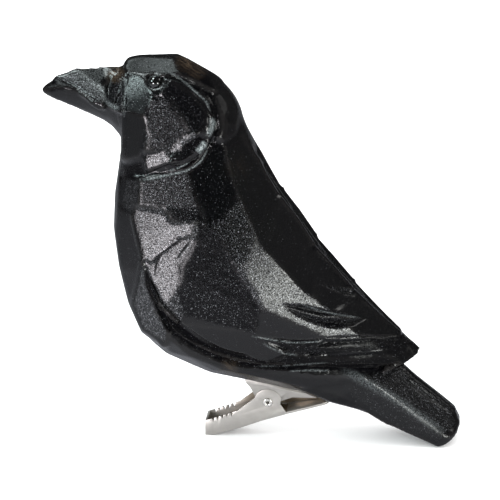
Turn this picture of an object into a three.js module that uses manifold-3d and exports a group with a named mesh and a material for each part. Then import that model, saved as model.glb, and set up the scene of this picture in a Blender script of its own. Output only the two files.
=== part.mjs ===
// A hand-carved wooden raven on a small metal clip. Millimetres, +Z up.
// The beak points to -X and the tail to +X; the carving is the same on both sides of y = 0.

import * as THREE from 'three';
import { mergeVertices } from 'three/addons/utils/BufferGeometryUtils.js';
import Module from 'manifold-3d';

const wasm = await Module();
wasm.setup();

// Torso stations from the neck down to the wing tips. Each one is a slice through the body:
// front (or belly) point and back point in the side view as [x, z], and half its width.
const torsoStations = [
  { front: [-28.8, 72.5], back: [-3.4, 77.2], half: 11.4 },
  { front: [-28.6, 65.0], back: [-0.3, 69.4], half: 12.4 },
  { front: [-30.2, 56.0], back: [2.2, 63.6], half: 14.4 },
  { front: [-30.7, 48.5], back: [6.2, 57.6], half: 15.8 },
  { front: [-29.8, 40.0], back: [10.2, 52.0], half: 16.8 },
  { front: [-28.0, 31.6], back: [14.1, 46.5], half: 17.2 },
  { front: [-24.7, 24.0], back: [18.2, 41.4], half: 16.8 },
  { front: [-18.8, 19.0], back: [22.2, 36.9], half: 15.8 },
  { front: [-10.3, 15.6], back: [26.4, 32.6], half: 14.2 },
  { front: [-1.0, 13.7], back: [30.3, 28.5], half: 12.2 },
  { front: [8.0, 11.7], back: [34.2, 24.8], half: 9.8 },
  { front: [17.5, 9.9], back: [38.5, 21.0], half: 6.8 },
];
const torsoFullness = 2.3;

// Head stations from the face to the nape, upright slices: x, lowest and highest z, half width.
const headStations = [
  { x: -27.9, low: 68.5, high: 84.0, half: 6.8 },
  { x: -26.7, low: 62.5, high: 85.7, half: 8.8 },
  { x: -24.2, low: 57.5, high: 86.6, half: 10.6 },
  { x: -20.0, low: 54.5, high: 86.9, half: 12.3 },
  { x: -15.5, low: 54.0, high: 86.3, half: 13.3 },
  { x: -11.0, low: 57.0, high: 84.3, half: 13.5 },
  { x: -7.4, low: 61.0, high: 81.4, half: 12.3 },
  { x: -4.4, low: 66.0, high: 78.0, half: 10.0 },
  { x: -2.4, low: 69.0, high: 74.4, half: 6.5 },
];
const headFullness = 2.5;

// Beak stations from the tip to inside the face. crease is the height of the line where
// the upper and lower bill meet, which is also where the beak is widest.
const beakStations = [
  { x: -45.8, low: 77.9, high: 78.9, crease: 78.4, half: 0.5 },
  { x: -44.6, low: 77.1, high: 79.9, crease: 78.9, half: 1.4 },
  { x: -42.4, low: 76.0, high: 81.2, crease: 80.0, half: 2.2 },
  { x: -38.6, low: 74.6, high: 82.9, crease: 79.6, half: 3.2 },
  { x: -33.0, low: 72.2, high: 83.9, crease: 77.4, half: 4.8 },
  { x: -30.4, low: 70.6, high: 83.9, crease: 76.2, half: 5.5 },
  { x: -28.0, low: 67.6, high: 83.9, crease: 75.2, half: 6.1 },
  { x: -24.0, low: 64.0, high: 83.6, crease: 75.0, half: 6.4 },
];
const beakFullness = 1.45;

// Tail stations from inside the body to the squared paddle end.
const tailStations = [
  { front: [6.0, 13.0], back: [24.0, 22.0], half: 8.0 },
  { front: [17.0, 9.0], back: [33.2, 17.0], half: 8.0 },
  { front: [24.0, 7.4], back: [36.8, 13.6], half: 7.8 },
  { front: [32.0, 4.6], back: [41.6, 9.8], half: 7.8 },
  { front: [39.6, 1.0], back: [46.2, 6.1], half: 7.6 },
  { front: [42.8, -0.6], back: [47.5, 3.4], half: 6.8 },
];
const tailFullness = 2.5;
const tailWidest = 0.42;

// How finely the blank is drawn, and how far a knife flat's cutting block spreads past its corners.
const sidesRound = 14;
const blockSpread = 1.4;
const blockDepth = 5;
const mergeDistance = 1e-4;

// Gouges: step along the line, least share of the full cut at a faded end, and clearance above it.
const viewReach = 100;
const strokeStep = 2.2;
const leastSwell = 0.04;
const strokeClearance = 0.8;

// Knife flats: how far along the stations and how far around the flat's middle lies, and how
// far it reaches each way along and around.
const torsoFlats = [
  [1.9, -46, 0.6, 11], [2.25, -16, 0.7, 18], [3.25, -19, 0.6, 15], [4.55, -22, 0.8, 9],
  [5.0, -3, 1.5, 12], [3.2, 8, 0.5, 8], [6.4, -14, 0.7, 9], [7.8, -9, 0.9, 9], [9.4, 2, 0.8, 14],
  [3.3, -50, 0.8, 12], [4.6, -50, 0.6, 12], [5.6, -50, 0.5, 12],
  [0.9, 12, 0.6, 16], [1.6, 27, 0.6, 14], [2.8, 26, 0.6, 13],
  [4.3, 26, 0.8, 11], [5.8, 27, 0.8, 12], [7.4, 33, 0.8, 12], [8.9, 38, 0.7, 13],
  [1.0, 60, 0.6, 16], [2.2, 60, 0.7, 17], [3.6, 59, 0.8, 18], [5.1, 60, 0.8, 18],
  [6.6, 63, 0.8, 17], [8.1, 66, 0.8, 16], [9.6, 66, 0.8, 18],
  [1.2, 90, 0.7, 9], [3.0, 90, 1.0, 9], [5.0, 90, 0.9, 9], [7.0, 90, 0.9, 10], [9.2, 90, 1.0, 12],
  [1.2, -90, 0.5, 12], [2.6, -90, 0.7, 12], [4.0, -90, 0.6, 14], [5.2, -90, 0.5, 15],
  [6.2, -90, 0.5, 18], [7.4, -90, 0.7, 20], [9.2, -90, 0.9, 20],
  [0.9, -28, 0.5, 16], [0.9, -60, 0.5, 14], [2.4, -70, 0.6, 10],
  [6.3, -62, 0.5, 12], [7.4, -58, 0.6, 13], [8.8, -52, 0.8, 15],
];
const headFlats = [
  [2.3, 62, 0.7, 14], [3.7, 66, 0.7, 14], [1.6, 34, 0.5, 10], [2.3, 18, 0.6, 9], [2.0, -4, 0.7, 12],
  [3.6, 0, 0.8, 14], [4.9, 14, 0.8, 14], [3.3, -26, 0.6, 11], [4.7, -16, 0.8, 12],
  [3.9, 32, 0.7, 10], [5.3, 60, 0.7, 14], [6.4, 48, 0.6, 18], [5.2, 40, 0.6, 10], [6.4, 12, 0.5, 16],
  [1.6, 90, 0.5, 12], [2.9, 90, 0.7, 13], [4.3, 90, 0.6, 13], [5.6, 90, 0.6, 14],
];
const beakFlats = [
  [3.1, 44, 0.7, 16], [3.9, 24, 0.5, 14], [2.0, 40, 0.6, 20], [2.6, -30, 0.6, 20], [3.9, -32, 0.6, 20],
  [3.6, 78, 0.8, 9], [3.2, -80, 0.8, 12],
];
const tailFlats = [
  [1.0, 14, 0.9, 14], [2.9, 22, 1.0, 12], [2.2, -20, 1.2, 16], [2.4, 62, 1.2, 14], [2.6, -90, 1.2, 20],
  [2.4, 90, 1.2, 14],
];

// Gouge strokes drawn in the side view as [x, z] points.
const strokes = [
  // groove round the cheek patch
  {
    line: [[-17.4, 84.0], [-11.6, 82.0], [-8.2, 79.8], [-6.6, 77.3], [-6.0, 74.0], [-6.8, 70.8],
      [-9.6, 67.4], [-13.4, 65.2], [-17.0, 63.4], [-21.0, 62.0]],
    width: 2.4, depth: 1.0, lean: 0.3, fade: [0.2, 0.25],
  },
  // undercut below the folded wing, from the wrist to the tail
  {
    line: [[-21.9, 43.5], [-21.2, 38.1], [-17.3, 28.6], [-9.9, 23.2], [-2.7, 20.4], [8.2, 19.1],
      [19.0, 18.2], [30.5, 17.4]],
    width: 2.6, depth: 1.3, lean: 0.4, fade: [0.15, 0],
  },
  // long lens between the upper wing feathers
  {
    line: [[8.2, 34.8], [12.2, 32.8], [18.2, 30.6], [23.5, 30.0], [28.2, 30.2]],
    width: 3.0, depth: 1.0, lean: -0.3, fade: [0.5, 0.5],
  },
  // feather edges below it, one above the other
  {
    line: [[1.8, 28.0], [9.0, 26.8], [18.0, 26.0], [27.0, 25.6], [34.0, 25.2]],
    width: 2.0, depth: 0.8, lean: -0.5, fade: [0.35, 0.5],
  },
  {
    line: [[4.0, 26.6], [12.0, 24.0], [20.0, 22.8], [29.0, 22.4], [34.5, 22.0]],
    width: 1.6, depth: 0.6, lean: -0.5, fade: [0.4, 0.4],
  },
  // shallow mark high on the mantle
  {
    line: [[16.0, 38.0], [20.0, 35.8], [25.0, 34.6]],
    width: 2.0, depth: 0.45, lean: -0.4, fade: [0.5, 0.5],
  },
  // recess at the root of the beak
  {
    line: [[-30.8, 82.6], [-30.2, 79.6], [-29.8, 76.2]],
    width: 4.6, depth: 0.9, lean: -0.6, fade: [0.1, 0.1],
  },
  // hollow before the eye and the one over it
  {
    line: [[-26.8, 82.2], [-24.0, 81.4], [-21.4, 80.4]],
    width: 2.4, depth: 0.5, lean: 0.3, fade: [0.2, 0.5],
  },
  {
    line: [[-26.6, 84.2], [-23.6, 84.8], [-20.4, 84.9]],
    width: 1.8, depth: 0.4, lean: 0.3, fade: [0.3, 0.5],
  },
  // two knife nicks on the wrist of the wing
  {
    line: [[-19.6, 44.4], [-16.4, 46.8], [-13.2, 49.2]],
    width: 0.7, depth: 0.5, lean: 0, fade: [0.4, 0.6],
  },
  {
    line: [[-14.4, 44.2], [-12.2, 47.0], [-9.9, 50.0]],
    width: 0.6, depth: 0.4, lean: 0, fade: [0.5, 0.6],
  },
];

// Feather ends that step across the back: how far along the torso, each step's depth and run.
const backSteps = [5.3, 7.55, 8.95, 10.2];
const backStepDepth = 0.4;
const backStepRun = 4.5;
const backStepHalfWidth = 5;
const backStepProbe = 0.2;

// Bead eyes, sunk in sockets that leave a ring of space round them.
const eyeAt = [-19.6, 82.9];
const eyeRadius = 1.5;
const eyeSink = 0.35;
const socketGap = 0.3;
const eyeSides = 18;

// The flat under the tail's end: from where to where it reaches, and how deep the cut clears.
const footReach = [30, 60];
const footHalfWidth = 20;
const cutDepth = 4;

// The clip, folded from one thickness of sheet. The lower half is a toothed channel in front of
// the rivet and a plain tongue behind it; the upper half lies on the belly.
const sheet = 0.5;
const pivot = [4.3, 8.3];
const clipHalfWidth = 3.3;
const fitGap = 0.3;
const earRadius = 3.2;
const innerEarRadius = 2.5;
const lowerBack = [[-9.9, 0], [-8.4, 0], [-1.7, 2.1], [3.0, 3.9], [8.7, 5.7], [18.0, 7.9]];
const lowerWallTop = [[-9.9, 3.5], [-7.3, 4.4], [-2.6, 6.1], [1.4, 9.3]];
const lowerWallEnd = [7.1, 8.0];
const lowerEarArc = [20, 158];
const frontWall = { back: -9.4, top: 3.6 };
const seatSlope = -0.222;
const seatHeight = 13.9;
const seatReach = [-2.2, 18.8];
const upperPlateReach = [-0.9, 17.9];
const upperWallFront = -0.6;
const upperWallElbow = 9.8;
const upperWallElbowDrop = 1.3;
const upperWallRun = 16;
const upperWallEdge = 0.1;
const innerEarArc = [175, 360];
const toothCount = 5;
const toothPitch = 1.05;
const toothDepth = 0.9;
const firstGap = -8.1;
const toothGapHalf = 0.42;
const toothClearance = 0.6;

// Plan of each clip half: half its width at each x. Behind the rivet both taper to a tongue.
const tongueHalfWidth = 2.1;
const tongueShoulderHalfWidth = 1.7;
const tongueTipHalfWidth = 0.85;
const tongueTaper = [[8, clipHalfWidth], [16.5, tongueHalfWidth], [17.6, tongueShoulderHalfWidth]];
const lowerPlan = [
  [-10.5, 3.15], [-9.9, 3.15], [-7, clipHalfWidth], ...tongueTaper, [18.1, tongueTipHalfWidth],
];
const upperPlan = [[-1.0, 2.8], [0.5, clipHalfWidth], ...tongueTaper, [18.0, tongueTipHalfWidth]];
const planHeight = 30;
const planFoot = -5;
const arcSides = 8;

const rivetRadius = 0.7;
const rivetHole = 0.36;
const rivetHeadRadius = 1.05;
const rivetHeadHeight = 0.28;
const rivetHeadBevel = 0.04;
const rivetRimRound = 0.06;
const rivetShoulderRadius = 0.95;
const rivetCrownRadius = 0.68;
const runningGap = 0.05;
const rivetSides = 18;

const springWire = 0.42;
const springRadius = 1.25;
const springTurns = 3;
const springPitch = 0.62;
const springLegShare = 0.2;
const springUpperLeg = [10.5, 10.25];
const springLowerLeg = [8.3, 6.6];
const springStartAngle = 70;
const springEndAngle = 221;
const springSteps = 64;
const springCornerSegments = 3;

// One ring of a loft. around = 0 is the left side (-Y), 90 the back, -90 the front or belly.
function ringPoint(station, fullness, around) {
  const angle = THREE.MathUtils.degToRad(around);
  const up = Math.sign(Math.sin(angle)) * Math.abs(Math.sin(angle)) ** (2 / fullness);
  const out = Math.sign(Math.cos(angle)) * Math.abs(Math.cos(angle)) ** (2 / fullness);
  const share = station.widest + up * (up > 0 ? 1 - station.widest : station.widest);
  return new THREE.Vector3(
    THREE.MathUtils.lerp(station.front[0], station.back[0], share),
    -out * station.half,
    THREE.MathUtils.lerp(station.front[1], station.back[1], share),
  );
}

function station(values) {
  if (values.front) {
    return { widest: 0.5, ...values };
  }
  const widest = values.crease ? (values.crease - values.low) / (values.high - values.low) : 0.5;
  return { widest, ...values, front: [values.x, values.low], back: [values.x, values.high] };
}

// A form drawn through its stations, with skin() giving any point of its surface.
function makeForm(stationList, fullness) {
  const stations = stationList.map(station);
  const rings = stations.map((one) => {
    const ring = [];
    for (let i = 0; i < sidesRound; i += 1) {
      ring.push(ringPoint(one, fullness, 90 - (i * 360) / sidesRound));
    }
    return ring;
  });
  return {
    solid: solidOf(loft(rings)),
    skin(along, around) {
      const first = THREE.MathUtils.clamp(Math.floor(along), 0, stations.length - 2);
      const a = ringPoint(stations[first], fullness, around);
      const b = ringPoint(stations[first + 1], fullness, around);
      return a.lerp(b, along - first);
    },
  };
}

function middleOf(points) {
  const sum = new THREE.Vector3();
  for (const point of points) {
    sum.add(point);
  }
  return sum.divideScalar(points.length);
}

// Closed mesh through rings of equal count, with a fan over each end.
function loft(rings) {
  const count = rings[0].length;
  const points = rings.flat();
  const headEnd = points.push(middleOf(rings[0])) - 1;
  const tailEnd = points.push(middleOf(rings.at(-1))) - 1;
  const index = [];
  for (let r = 0; r < rings.length - 1; r += 1) {
    for (let i = 0; i < count; i += 1) {
      const next = (i + 1) % count;
      const a = r * count + i;
      const b = r * count + next;
      index.push(a, b, b + count, a, b + count, a + count);
    }
  }
  const last = (rings.length - 1) * count;
  for (let i = 0; i < count; i += 1) {
    const next = (i + 1) % count;
    index.push(headEnd, next, i);
    index.push(tailEnd, last + i, last + next);
  }
  const geometry = new THREE.BufferGeometry().setFromPoints(points);
  geometry.setIndex(index);
  return geometry;
}

function bareOf(geometry) {
  const bare = geometry.clone();
  bare.deleteAttribute('normal');
  bare.deleteAttribute('uv');
  return bare;
}

function solidOf(geometry) {
  const merged = mergeVertices(bareOf(geometry), mergeDistance);
  return new wasm.Manifold(new wasm.Mesh({
    numProp: 3,
    vertProperties: new Float32Array(merged.attributes.position.array),
    triVerts: new Uint32Array(merged.index.array),
  }));
}

function geometryOf(solid) {
  const { vertProperties, triVerts } = solid.getMesh();
  const geometry = new THREE.BufferGeometry();
  geometry.setAttribute('position', new THREE.BufferAttribute(new Float32Array(vertProperties), 3));
  geometry.setIndex(new THREE.BufferAttribute(new Uint32Array(triVerts), 1));
  return geometry;
}

// Turns a form's blank into flat-sided carving: each knife flat is a plane laid through four
// points of the blank, reach steps along and around from its middle, and cut on both sides.
function carve(form, flats) {
  let solid = form.solid;
  for (const [along, around, reachAlong, reachAround] of flats) {
    const block = knifeBlock(form, along, around, reachAlong, reachAround);
    solid = solid.subtract(solidOf(block));
    if (Math.abs(around) !== 90) {
      solid = solid.subtract(solidOf(mirrored(block)));
    }
  }
  return solid;
}

function knifeBlock(form, along, around, reachAlong, reachAround) {
  const corners = [[-1, -1], [1, -1], [1, 1], [-1, 1]].map(([a, b]) => (
    form.skin(along + a * reachAlong, around + b * reachAround)));
  const middle = middleOf(corners);
  const acrossOne = corners[2].clone().sub(corners[0]);
  const acrossTwo = corners[3].clone().sub(corners[1]);
  const normal = acrossOne.clone().cross(acrossTwo).normalize();
  const core = middleOf([form.skin(along, 90), form.skin(along, -90)]);
  if (normal.dot(middle.clone().sub(core)) < 0) {
    normal.negate();
  }
  const lengthwise = corners[1].clone().sub(corners[0]).add(corners[2]).sub(corners[3]);
  const crosswise = normal.clone().cross(lengthwise).normalize();
  const widest = Math.max(Math.abs(acrossOne.dot(crosswise)), Math.abs(acrossTwo.dot(crosswise)));
  const block = new THREE.BoxGeometry(
    (lengthwise.length() / 2) * blockSpread,
    widest * blockSpread,
    blockDepth,
  );
  block.translate(0, 0, blockDepth / 2);
  lengthwise.crossVectors(crosswise, normal);
  block.applyMatrix4(new THREE.Matrix4().makeBasis(lengthwise, crosswise, normal).setPosition(middle));
  return block;
}

function mirrored(geometry) {
  const copy = mergeVertices(bareOf(geometry), mergeDistance);
  copy.scale(1, -1, 1);
  const order = copy.index.array;
  for (let i = 0; i < order.length; i += 3) {
    [order[i], order[i + 1]] = [order[i + 1], order[i]];
  }
  return copy;
}

// Where a pencil line in the side view, as [x, z] points, lies on the left side of a solid.
function drawnOn(solid, line, step) {
  const target = new THREE.Mesh(geometryOf(solid));
  const flatCurve = new THREE.CatmullRomCurve3(line.map(([x, z]) => new THREE.Vector3(x, 0, z)));
  const count = Math.max(2, Math.round(flatCurve.getLength() / step));
  const samples = [];
  for (const place of flatCurve.getSpacedPoints(count)) {
    const from = new THREE.Vector3(place.x, -viewReach, place.z);
    const hit = new THREE.Raycaster(from, new THREE.Vector3(0, 1, 0)).intersectObject(target)[0];
    if (hit) {
      samples.push({ point: hit.point, normal: hit.face.normal.clone() });
    }
  }
  return samples.map((sample, i) => {
    const normal = new THREE.Vector3();
    for (const near of samples.slice(Math.max(0, i - 2), i + 3)) {
      normal.add(near.normal);
    }
    return { point: sample.point, normal: normal.normalize() };
  });
}

// The wedge of wood that a V-shaped gouge takes out along a drawn line. lean from -1 to 1 moves
// the bottom of the V towards one edge, so that one wall is steep and the other is a long slope.
function gougeWedge(samples, { width, depth, lean, fade }) {
  const rings = samples.map(({ point, normal }, i) => {
    const before = samples[Math.max(0, i - 1)].point;
    const after = samples[Math.min(samples.length - 1, i + 1)].point;
    const forward = after.clone().sub(before).normalize();
    const side = normal.clone().cross(forward).normalize();
    const share = i / (samples.length - 1);
    const fadedIn = fadeShape(share, fade[0]);
    const fadedOut = fadeShape(1 - share, fade[1]);
    const swell = Math.max(leastSwell, Math.min(fadedIn, fadedOut));
    const half = (width / 2) * swell;
    const deep = depth * swell;
    const lift = strokeClearance + deep;
    const bottom = lean * half;
    const place = (across, up) => (
      point.clone().addScaledVector(side, across).addScaledVector(normal, up));
    return [
      place(bottom, -deep),
      place(half + ((half - bottom) / deep) * lift, lift),
      place(-half - ((half + bottom) / deep) * lift, lift),
    ];
  });
  return loft(rings);
}

function fadeShape(share, length) {
  return length > 0 ? Math.sqrt(Math.min(1, share / length)) : 1;
}

function gouge(solid, stroke) {
  const wedge = gougeWedge(drawnOn(solid, stroke.line, strokeStep), stroke);
  return solid.subtract(solidOf(wedge)).subtract(solidOf(mirrored(wedge)));
}

// A side-view outline of [x, z] points, given its thickness across, centred on y = middle.
function slab(outline, across, middle = 0) {
  const geometry = new THREE.ExtrudeGeometry(outline, { depth: across, bevelEnabled: false });
  geometry.translate(0, 0, -across / 2);
  geometry.rotateX(Math.PI / 2);
  geometry.translate(0, middle, 0);
  return solidOf(geometry);
}

// A plan outline of [x, y] points made tall enough to trim a clip half to its width.
function planTrim(halfWidths) {
  const outline = new THREE.Shape();
  const right = halfWidths.map(([x, half]) => new THREE.Vector2(x, half));
  const left = halfWidths.map(([x, half]) => new THREE.Vector2(x, -half)).reverse();
  outline.setFromPoints([...left, ...right]);
  const geometry = new THREE.ExtrudeGeometry(outline, { depth: planHeight, bevelEnabled: false });
  geometry.translate(0, 0, planFoot);
  return solidOf(geometry);
}

function outlineOf(points) {
  return new THREE.Shape(points.map(([x, z]) => new THREE.Vector2(x, z)));
}

// Outline of bent sheet: the given line and the same line moved up by the sheet's thickness.
function bentSheet(line) {
  return outlineOf([...line, ...line.map(([x, z]) => [x, z + sheet]).reverse()]);
}

function arcPoints(radius, [fromDegrees, toDegrees]) {
  return Array.from({ length: arcSides + 1 }, (_, i) => {
    const angle = THREE.MathUtils.degToRad(THREE.MathUtils.lerp(fromDegrees, toDegrees, i / arcSides));
    return [pivot[0] + radius * Math.cos(angle), pivot[1] + radius * Math.sin(angle)];
  });
}

// The hole that the rivet turns in, as the pin that cuts it.
function rivetHolePin() {
  const radius = rivetRadius + runningGap;
  const pin = new THREE.CylinderGeometry(radius, radius, 4 * clipHalfWidth, rivetSides);
  pin.translate(pivot[0], 0, pivot[1]);
  return solidOf(pin);
}

function addWalls(half, wallOutline, wallMiddle) {
  const left = slab(wallOutline, sheet, -wallMiddle);
  const right = slab(wallOutline, sheet, wallMiddle);
  return half.add(left).add(right);
}

function clipLower() {
  const wallOutline = outlineOf([
    ...lowerBack.slice(0, -1), lowerWallEnd, ...arcPoints(earRadius, lowerEarArc),
    ...lowerWallTop.slice().reverse(),
  ]);
  const plate = slab(bentSheet(lowerBack), 2 * clipHalfWidth);
  let half = addWalls(plate, wallOutline, clipHalfWidth - sheet / 2);
  const endWall = outlineOf([
    lowerBack[0], [frontWall.back, lowerBack[0][1]], [frontWall.back, frontWall.top], lowerWallTop[0],
  ]);
  half = half.add(slab(endWall, 2 * clipHalfWidth));
  for (let i = 0; i < toothCount; i += 1) {
    const x = firstGap + i * toothPitch;
    const top = lowerWallHeight(x);
    const mouth = top + toothClearance;
    const gap = outlineOf([[x, top - toothDepth], [x + toothGapHalf, mouth], [x - toothGapHalf, mouth]]);
    half = half.subtract(slab(gap, 4 * clipHalfWidth));
  }
  return half.intersect(planTrim(lowerPlan)).subtract(rivetHolePin());
}

function lowerWallHeight(x) {
  const [a, b] = lowerWallTop.slice(1);
  return a[1] + ((x - a[0]) / (b[0] - a[0])) * (b[1] - a[1]);
}

function seatLine(x) {
  return seatHeight + seatSlope * (x + 1);
}

function clipUpper() {
  const under = (x) => seatLine(x) - fitGap - sheet;
  const plate = bentSheet(upperPlateReach.map((x) => [x, under(x)]));
  const wallOutline = outlineOf([
    [upperWallFront, under(upperWallFront) + upperWallEdge], ...arcPoints(innerEarRadius, innerEarArc),
    [upperWallElbow, under(upperWallElbow) - upperWallElbowDrop],
    [upperWallRun, under(upperWallRun) + upperWallEdge],
  ]);
  const half = addWalls(
    slab(plate, 2 * clipHalfWidth),
    wallOutline,
    clipHalfWidth - sheet - fitGap - sheet / 2,
  );
  return half.intersect(planTrim(upperPlan)).subtract(rivetHolePin());
}

function clipRivet() {
  const headFoot = clipHalfWidth + runningGap;
  const rim = headFoot + rivetHeadHeight;
  const half = [
    [rivetRadius, headFoot], [rivetHeadRadius, headFoot + rivetHeadBevel],
    [rivetShoulderRadius, rim - rivetRimRound], [rivetCrownRadius, rim],
    [rivetHole, rim - 2 * rivetRimRound],
  ];
  const profile = [...half, ...half.map(([r, y]) => [r, -y]).reverse(), half[0]];
  const rivet = new THREE.LatheGeometry(profile.map(([r, y]) => new THREE.Vector2(r, y)), rivetSides);
  rivet.translate(pivot[0], 0, pivot[1]);
  return rivet;
}

// Torsion spring: a coil round the rivet with one leg on each half of the clip.
class SpringPath extends THREE.Curve {
  getPoint(share, target = new THREE.Vector3()) {
    const coilShare = THREE.MathUtils.clamp((share - springLegShare) / (1 - 2 * springLegShare), 0, 1);
    const sweep = springTurns * 360 + springEndAngle - springStartAngle;
    const turn = THREE.MathUtils.degToRad(springStartAngle + coilShare * sweep);
    const y = (coilShare - 0.5) * springTurns * springPitch;
    target.set(pivot[0] + springRadius * Math.cos(turn), y, pivot[1] + springRadius * Math.sin(turn));
    if (share < springLegShare) {
      const [x, z] = springUpperLeg;
      target.lerp(new THREE.Vector3(x, y, z), 1 - share / springLegShare);
    }
    if (share > 1 - springLegShare) {
      const [x, z] = springLowerLeg;
      target.lerp(new THREE.Vector3(x, y, z), 1 - (1 - share) / springLegShare);
    }
    return target;
  }
}

function clipSpring() {
  const wire = new THREE.Shape();
  wire.absarc(0, 0, springWire / 2, 0, Math.PI * 2);
  return new THREE.ExtrudeGeometry(wire, {
    steps: springSteps,
    curveSegments: springCornerSegments,
    bevelEnabled: false,
    extrudePath: new SpringPath(),
  });
}

// A notch across the back where a feather ends: a short wall, then a slope back to the surface.
function backStep(form, along) {
  const top = form.skin(along, 90);
  const next = form.skin(along + backStepProbe, 90);
  const run = next.sub(top).normalize();
  const up = new THREE.Vector3(-run.z, 0, run.x);
  const at = (forward, rise) => {
    const p = top.clone().addScaledVector(run, forward).addScaledVector(up, rise);
    return [p.x, p.z];
  };
  const notch = outlineOf([at(0, -backStepDepth), at(backStepRun, 0), at(backStepRun, 1), at(0, 1)]);
  return slab(notch, 2 * backStepHalfWidth);
}

const torsoForm = makeForm(torsoStations, torsoFullness);
let torso = carve(torsoForm, torsoFlats);
for (const along of backSteps) {
  torso = torso.subtract(backStep(torsoForm, along));
}
const head = carve(makeForm(headStations, headFullness), headFlats);
const beak = carve(makeForm(beakStations, beakFullness), beakFlats);
const tailBlank = tailStations.map((one) => ({ ...one, widest: tailWidest }));
const tail = carve(makeForm(tailBlank, tailFullness), tailFlats);

let carved = torso.add(head).add(beak).add(tail);
for (const stroke of strokes) {
  carved = gouge(carved, stroke);
}

const eyeProbe = 0.5;
const [eyeSpot] = drawnOn(carved, [eyeAt, [eyeAt[0] + eyeProbe, eyeAt[1]]], eyeProbe / 2);
const eyeCentre = eyeSpot.point.clone().addScaledVector(eyeSpot.normal, -eyeSink);
for (const side of [1, -1]) {
  const socket = new THREE.SphereGeometry(eyeRadius + socketGap, eyeSides, eyeSides / 2);
  socket.translate(eyeCentre.x, side * eyeCentre.y, eyeCentre.z);
  carved = carved.subtract(solidOf(socket));
}

// Flat seat for the clip, and the flat under the tail that the bird stands on.
const seatTop = seatReach.map((x) => [x, seatLine(x)]);
const seat = outlineOf([...seatTop, ...seatTop.map(([x, z]) => [x, z - cutDepth]).reverse()]);
carved = carved.subtract(slab(seat, 2 * (clipHalfWidth + fitGap)));
const [footFront, footBack] = footReach;
const foot = outlineOf([[footFront, -cutDepth], [footBack, -cutDepth], [footBack, 0], [footFront, 0]]);
carved = carved.subtract(slab(foot, 2 * footHalfWidth));

const lacquer = new THREE.MeshStandardMaterial({ color: 0x0c0c0e, roughness: 0.3, metalness: 0 });
const bead = new THREE.MeshStandardMaterial({ color: 0x020202, roughness: 0.05, metalness: 0 });
const nickel = new THREE.MeshStandardMaterial({ color: 0xc8c4bc, roughness: 0.3, metalness: 0.9 });

const raven = new THREE.Group();

function piece(name, geometry, material) {
  const mesh = new THREE.Mesh(geometry, material);
  mesh.name = name;
  raven.add(mesh);
  return mesh;
}

piece('raven_body', geometryOf(carved), lacquer);
for (const [name, side] of [['left_eye', 1], ['right_eye', -1]]) {
  const eye = piece(name, new THREE.SphereGeometry(eyeRadius, eyeSides, eyeSides / 2), bead);
  eye.position.set(eyeCentre.x, side * eyeCentre.y, eyeCentre.z);
}
piece('clip_upper', geometryOf(clipUpper()), nickel);
piece('clip_lower', geometryOf(clipLower()), nickel);
piece('clip_rivet', clipRivet(), nickel);
piece('clip_spring', clipSpring(), nickel);

// The origin is on the standing surface, under the middle of the whole.
const whole = new THREE.Box3().setFromObject(raven);
raven.position.set(-(whole.min.x + whole.max.x) / 2, 0, -whole.min.z);

export default raven;
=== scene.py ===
import math

import bmesh
import bpy
import numpy as np
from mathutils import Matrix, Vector
from mathutils.bvhtree import BVHTree


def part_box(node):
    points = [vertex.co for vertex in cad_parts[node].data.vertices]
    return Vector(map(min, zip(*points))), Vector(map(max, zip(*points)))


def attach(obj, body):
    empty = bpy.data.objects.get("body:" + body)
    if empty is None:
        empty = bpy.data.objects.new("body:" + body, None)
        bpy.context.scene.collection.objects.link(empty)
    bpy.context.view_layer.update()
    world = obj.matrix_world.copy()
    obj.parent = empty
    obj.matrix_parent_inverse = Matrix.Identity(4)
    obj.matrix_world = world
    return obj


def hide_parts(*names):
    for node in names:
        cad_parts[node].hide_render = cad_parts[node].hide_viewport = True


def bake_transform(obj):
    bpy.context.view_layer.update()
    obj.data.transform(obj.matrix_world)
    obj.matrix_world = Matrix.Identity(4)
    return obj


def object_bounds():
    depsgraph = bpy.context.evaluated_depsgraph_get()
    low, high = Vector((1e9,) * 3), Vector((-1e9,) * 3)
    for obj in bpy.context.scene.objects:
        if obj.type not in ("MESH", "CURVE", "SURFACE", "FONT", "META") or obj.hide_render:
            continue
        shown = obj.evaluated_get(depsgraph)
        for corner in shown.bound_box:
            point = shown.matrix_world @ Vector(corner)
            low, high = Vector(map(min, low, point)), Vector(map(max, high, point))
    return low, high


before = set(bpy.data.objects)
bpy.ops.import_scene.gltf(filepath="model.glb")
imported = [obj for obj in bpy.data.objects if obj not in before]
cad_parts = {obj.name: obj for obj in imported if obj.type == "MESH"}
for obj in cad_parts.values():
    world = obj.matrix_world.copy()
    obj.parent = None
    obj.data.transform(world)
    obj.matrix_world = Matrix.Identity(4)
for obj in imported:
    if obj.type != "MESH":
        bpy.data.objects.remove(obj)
cadLow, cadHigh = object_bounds()
mm = 0.001


def newObject(name, data):
    obj = bpy.data.objects.new(name, data)
    bpy.context.scene.collection.objects.link(obj)
    return obj


# The way out from the bird at a bearing from its left side and a height, both in degrees.
def outwardAt(bearing, height):
    bearing, height = math.radians(bearing), math.radians(height)
    return math.sin(bearing) * math.cos(height), -math.cos(bearing) * math.cos(height), math.sin(height)


# A camera or light stands off from a middle and looks at it.
def lookAt(obj, middle, outward, distance):
    obj.location = middle + outward * distance
    obj.rotation_mode = "QUATERNION"
    obj.rotation_quaternion = (-outward).to_track_quat("-Z", "Y")


# Points along an arc between two angles in degrees
def arcPoints(middle, radii, start, end, steps):
    angles = [math.radians(start + (end - start) * i / steps) for i in range(steps + 1)]
    return [(middle[0] + radii[0] * math.cos(angle), middle[1] + radii[1] * math.sin(angle))
            for angle in angles]


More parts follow.
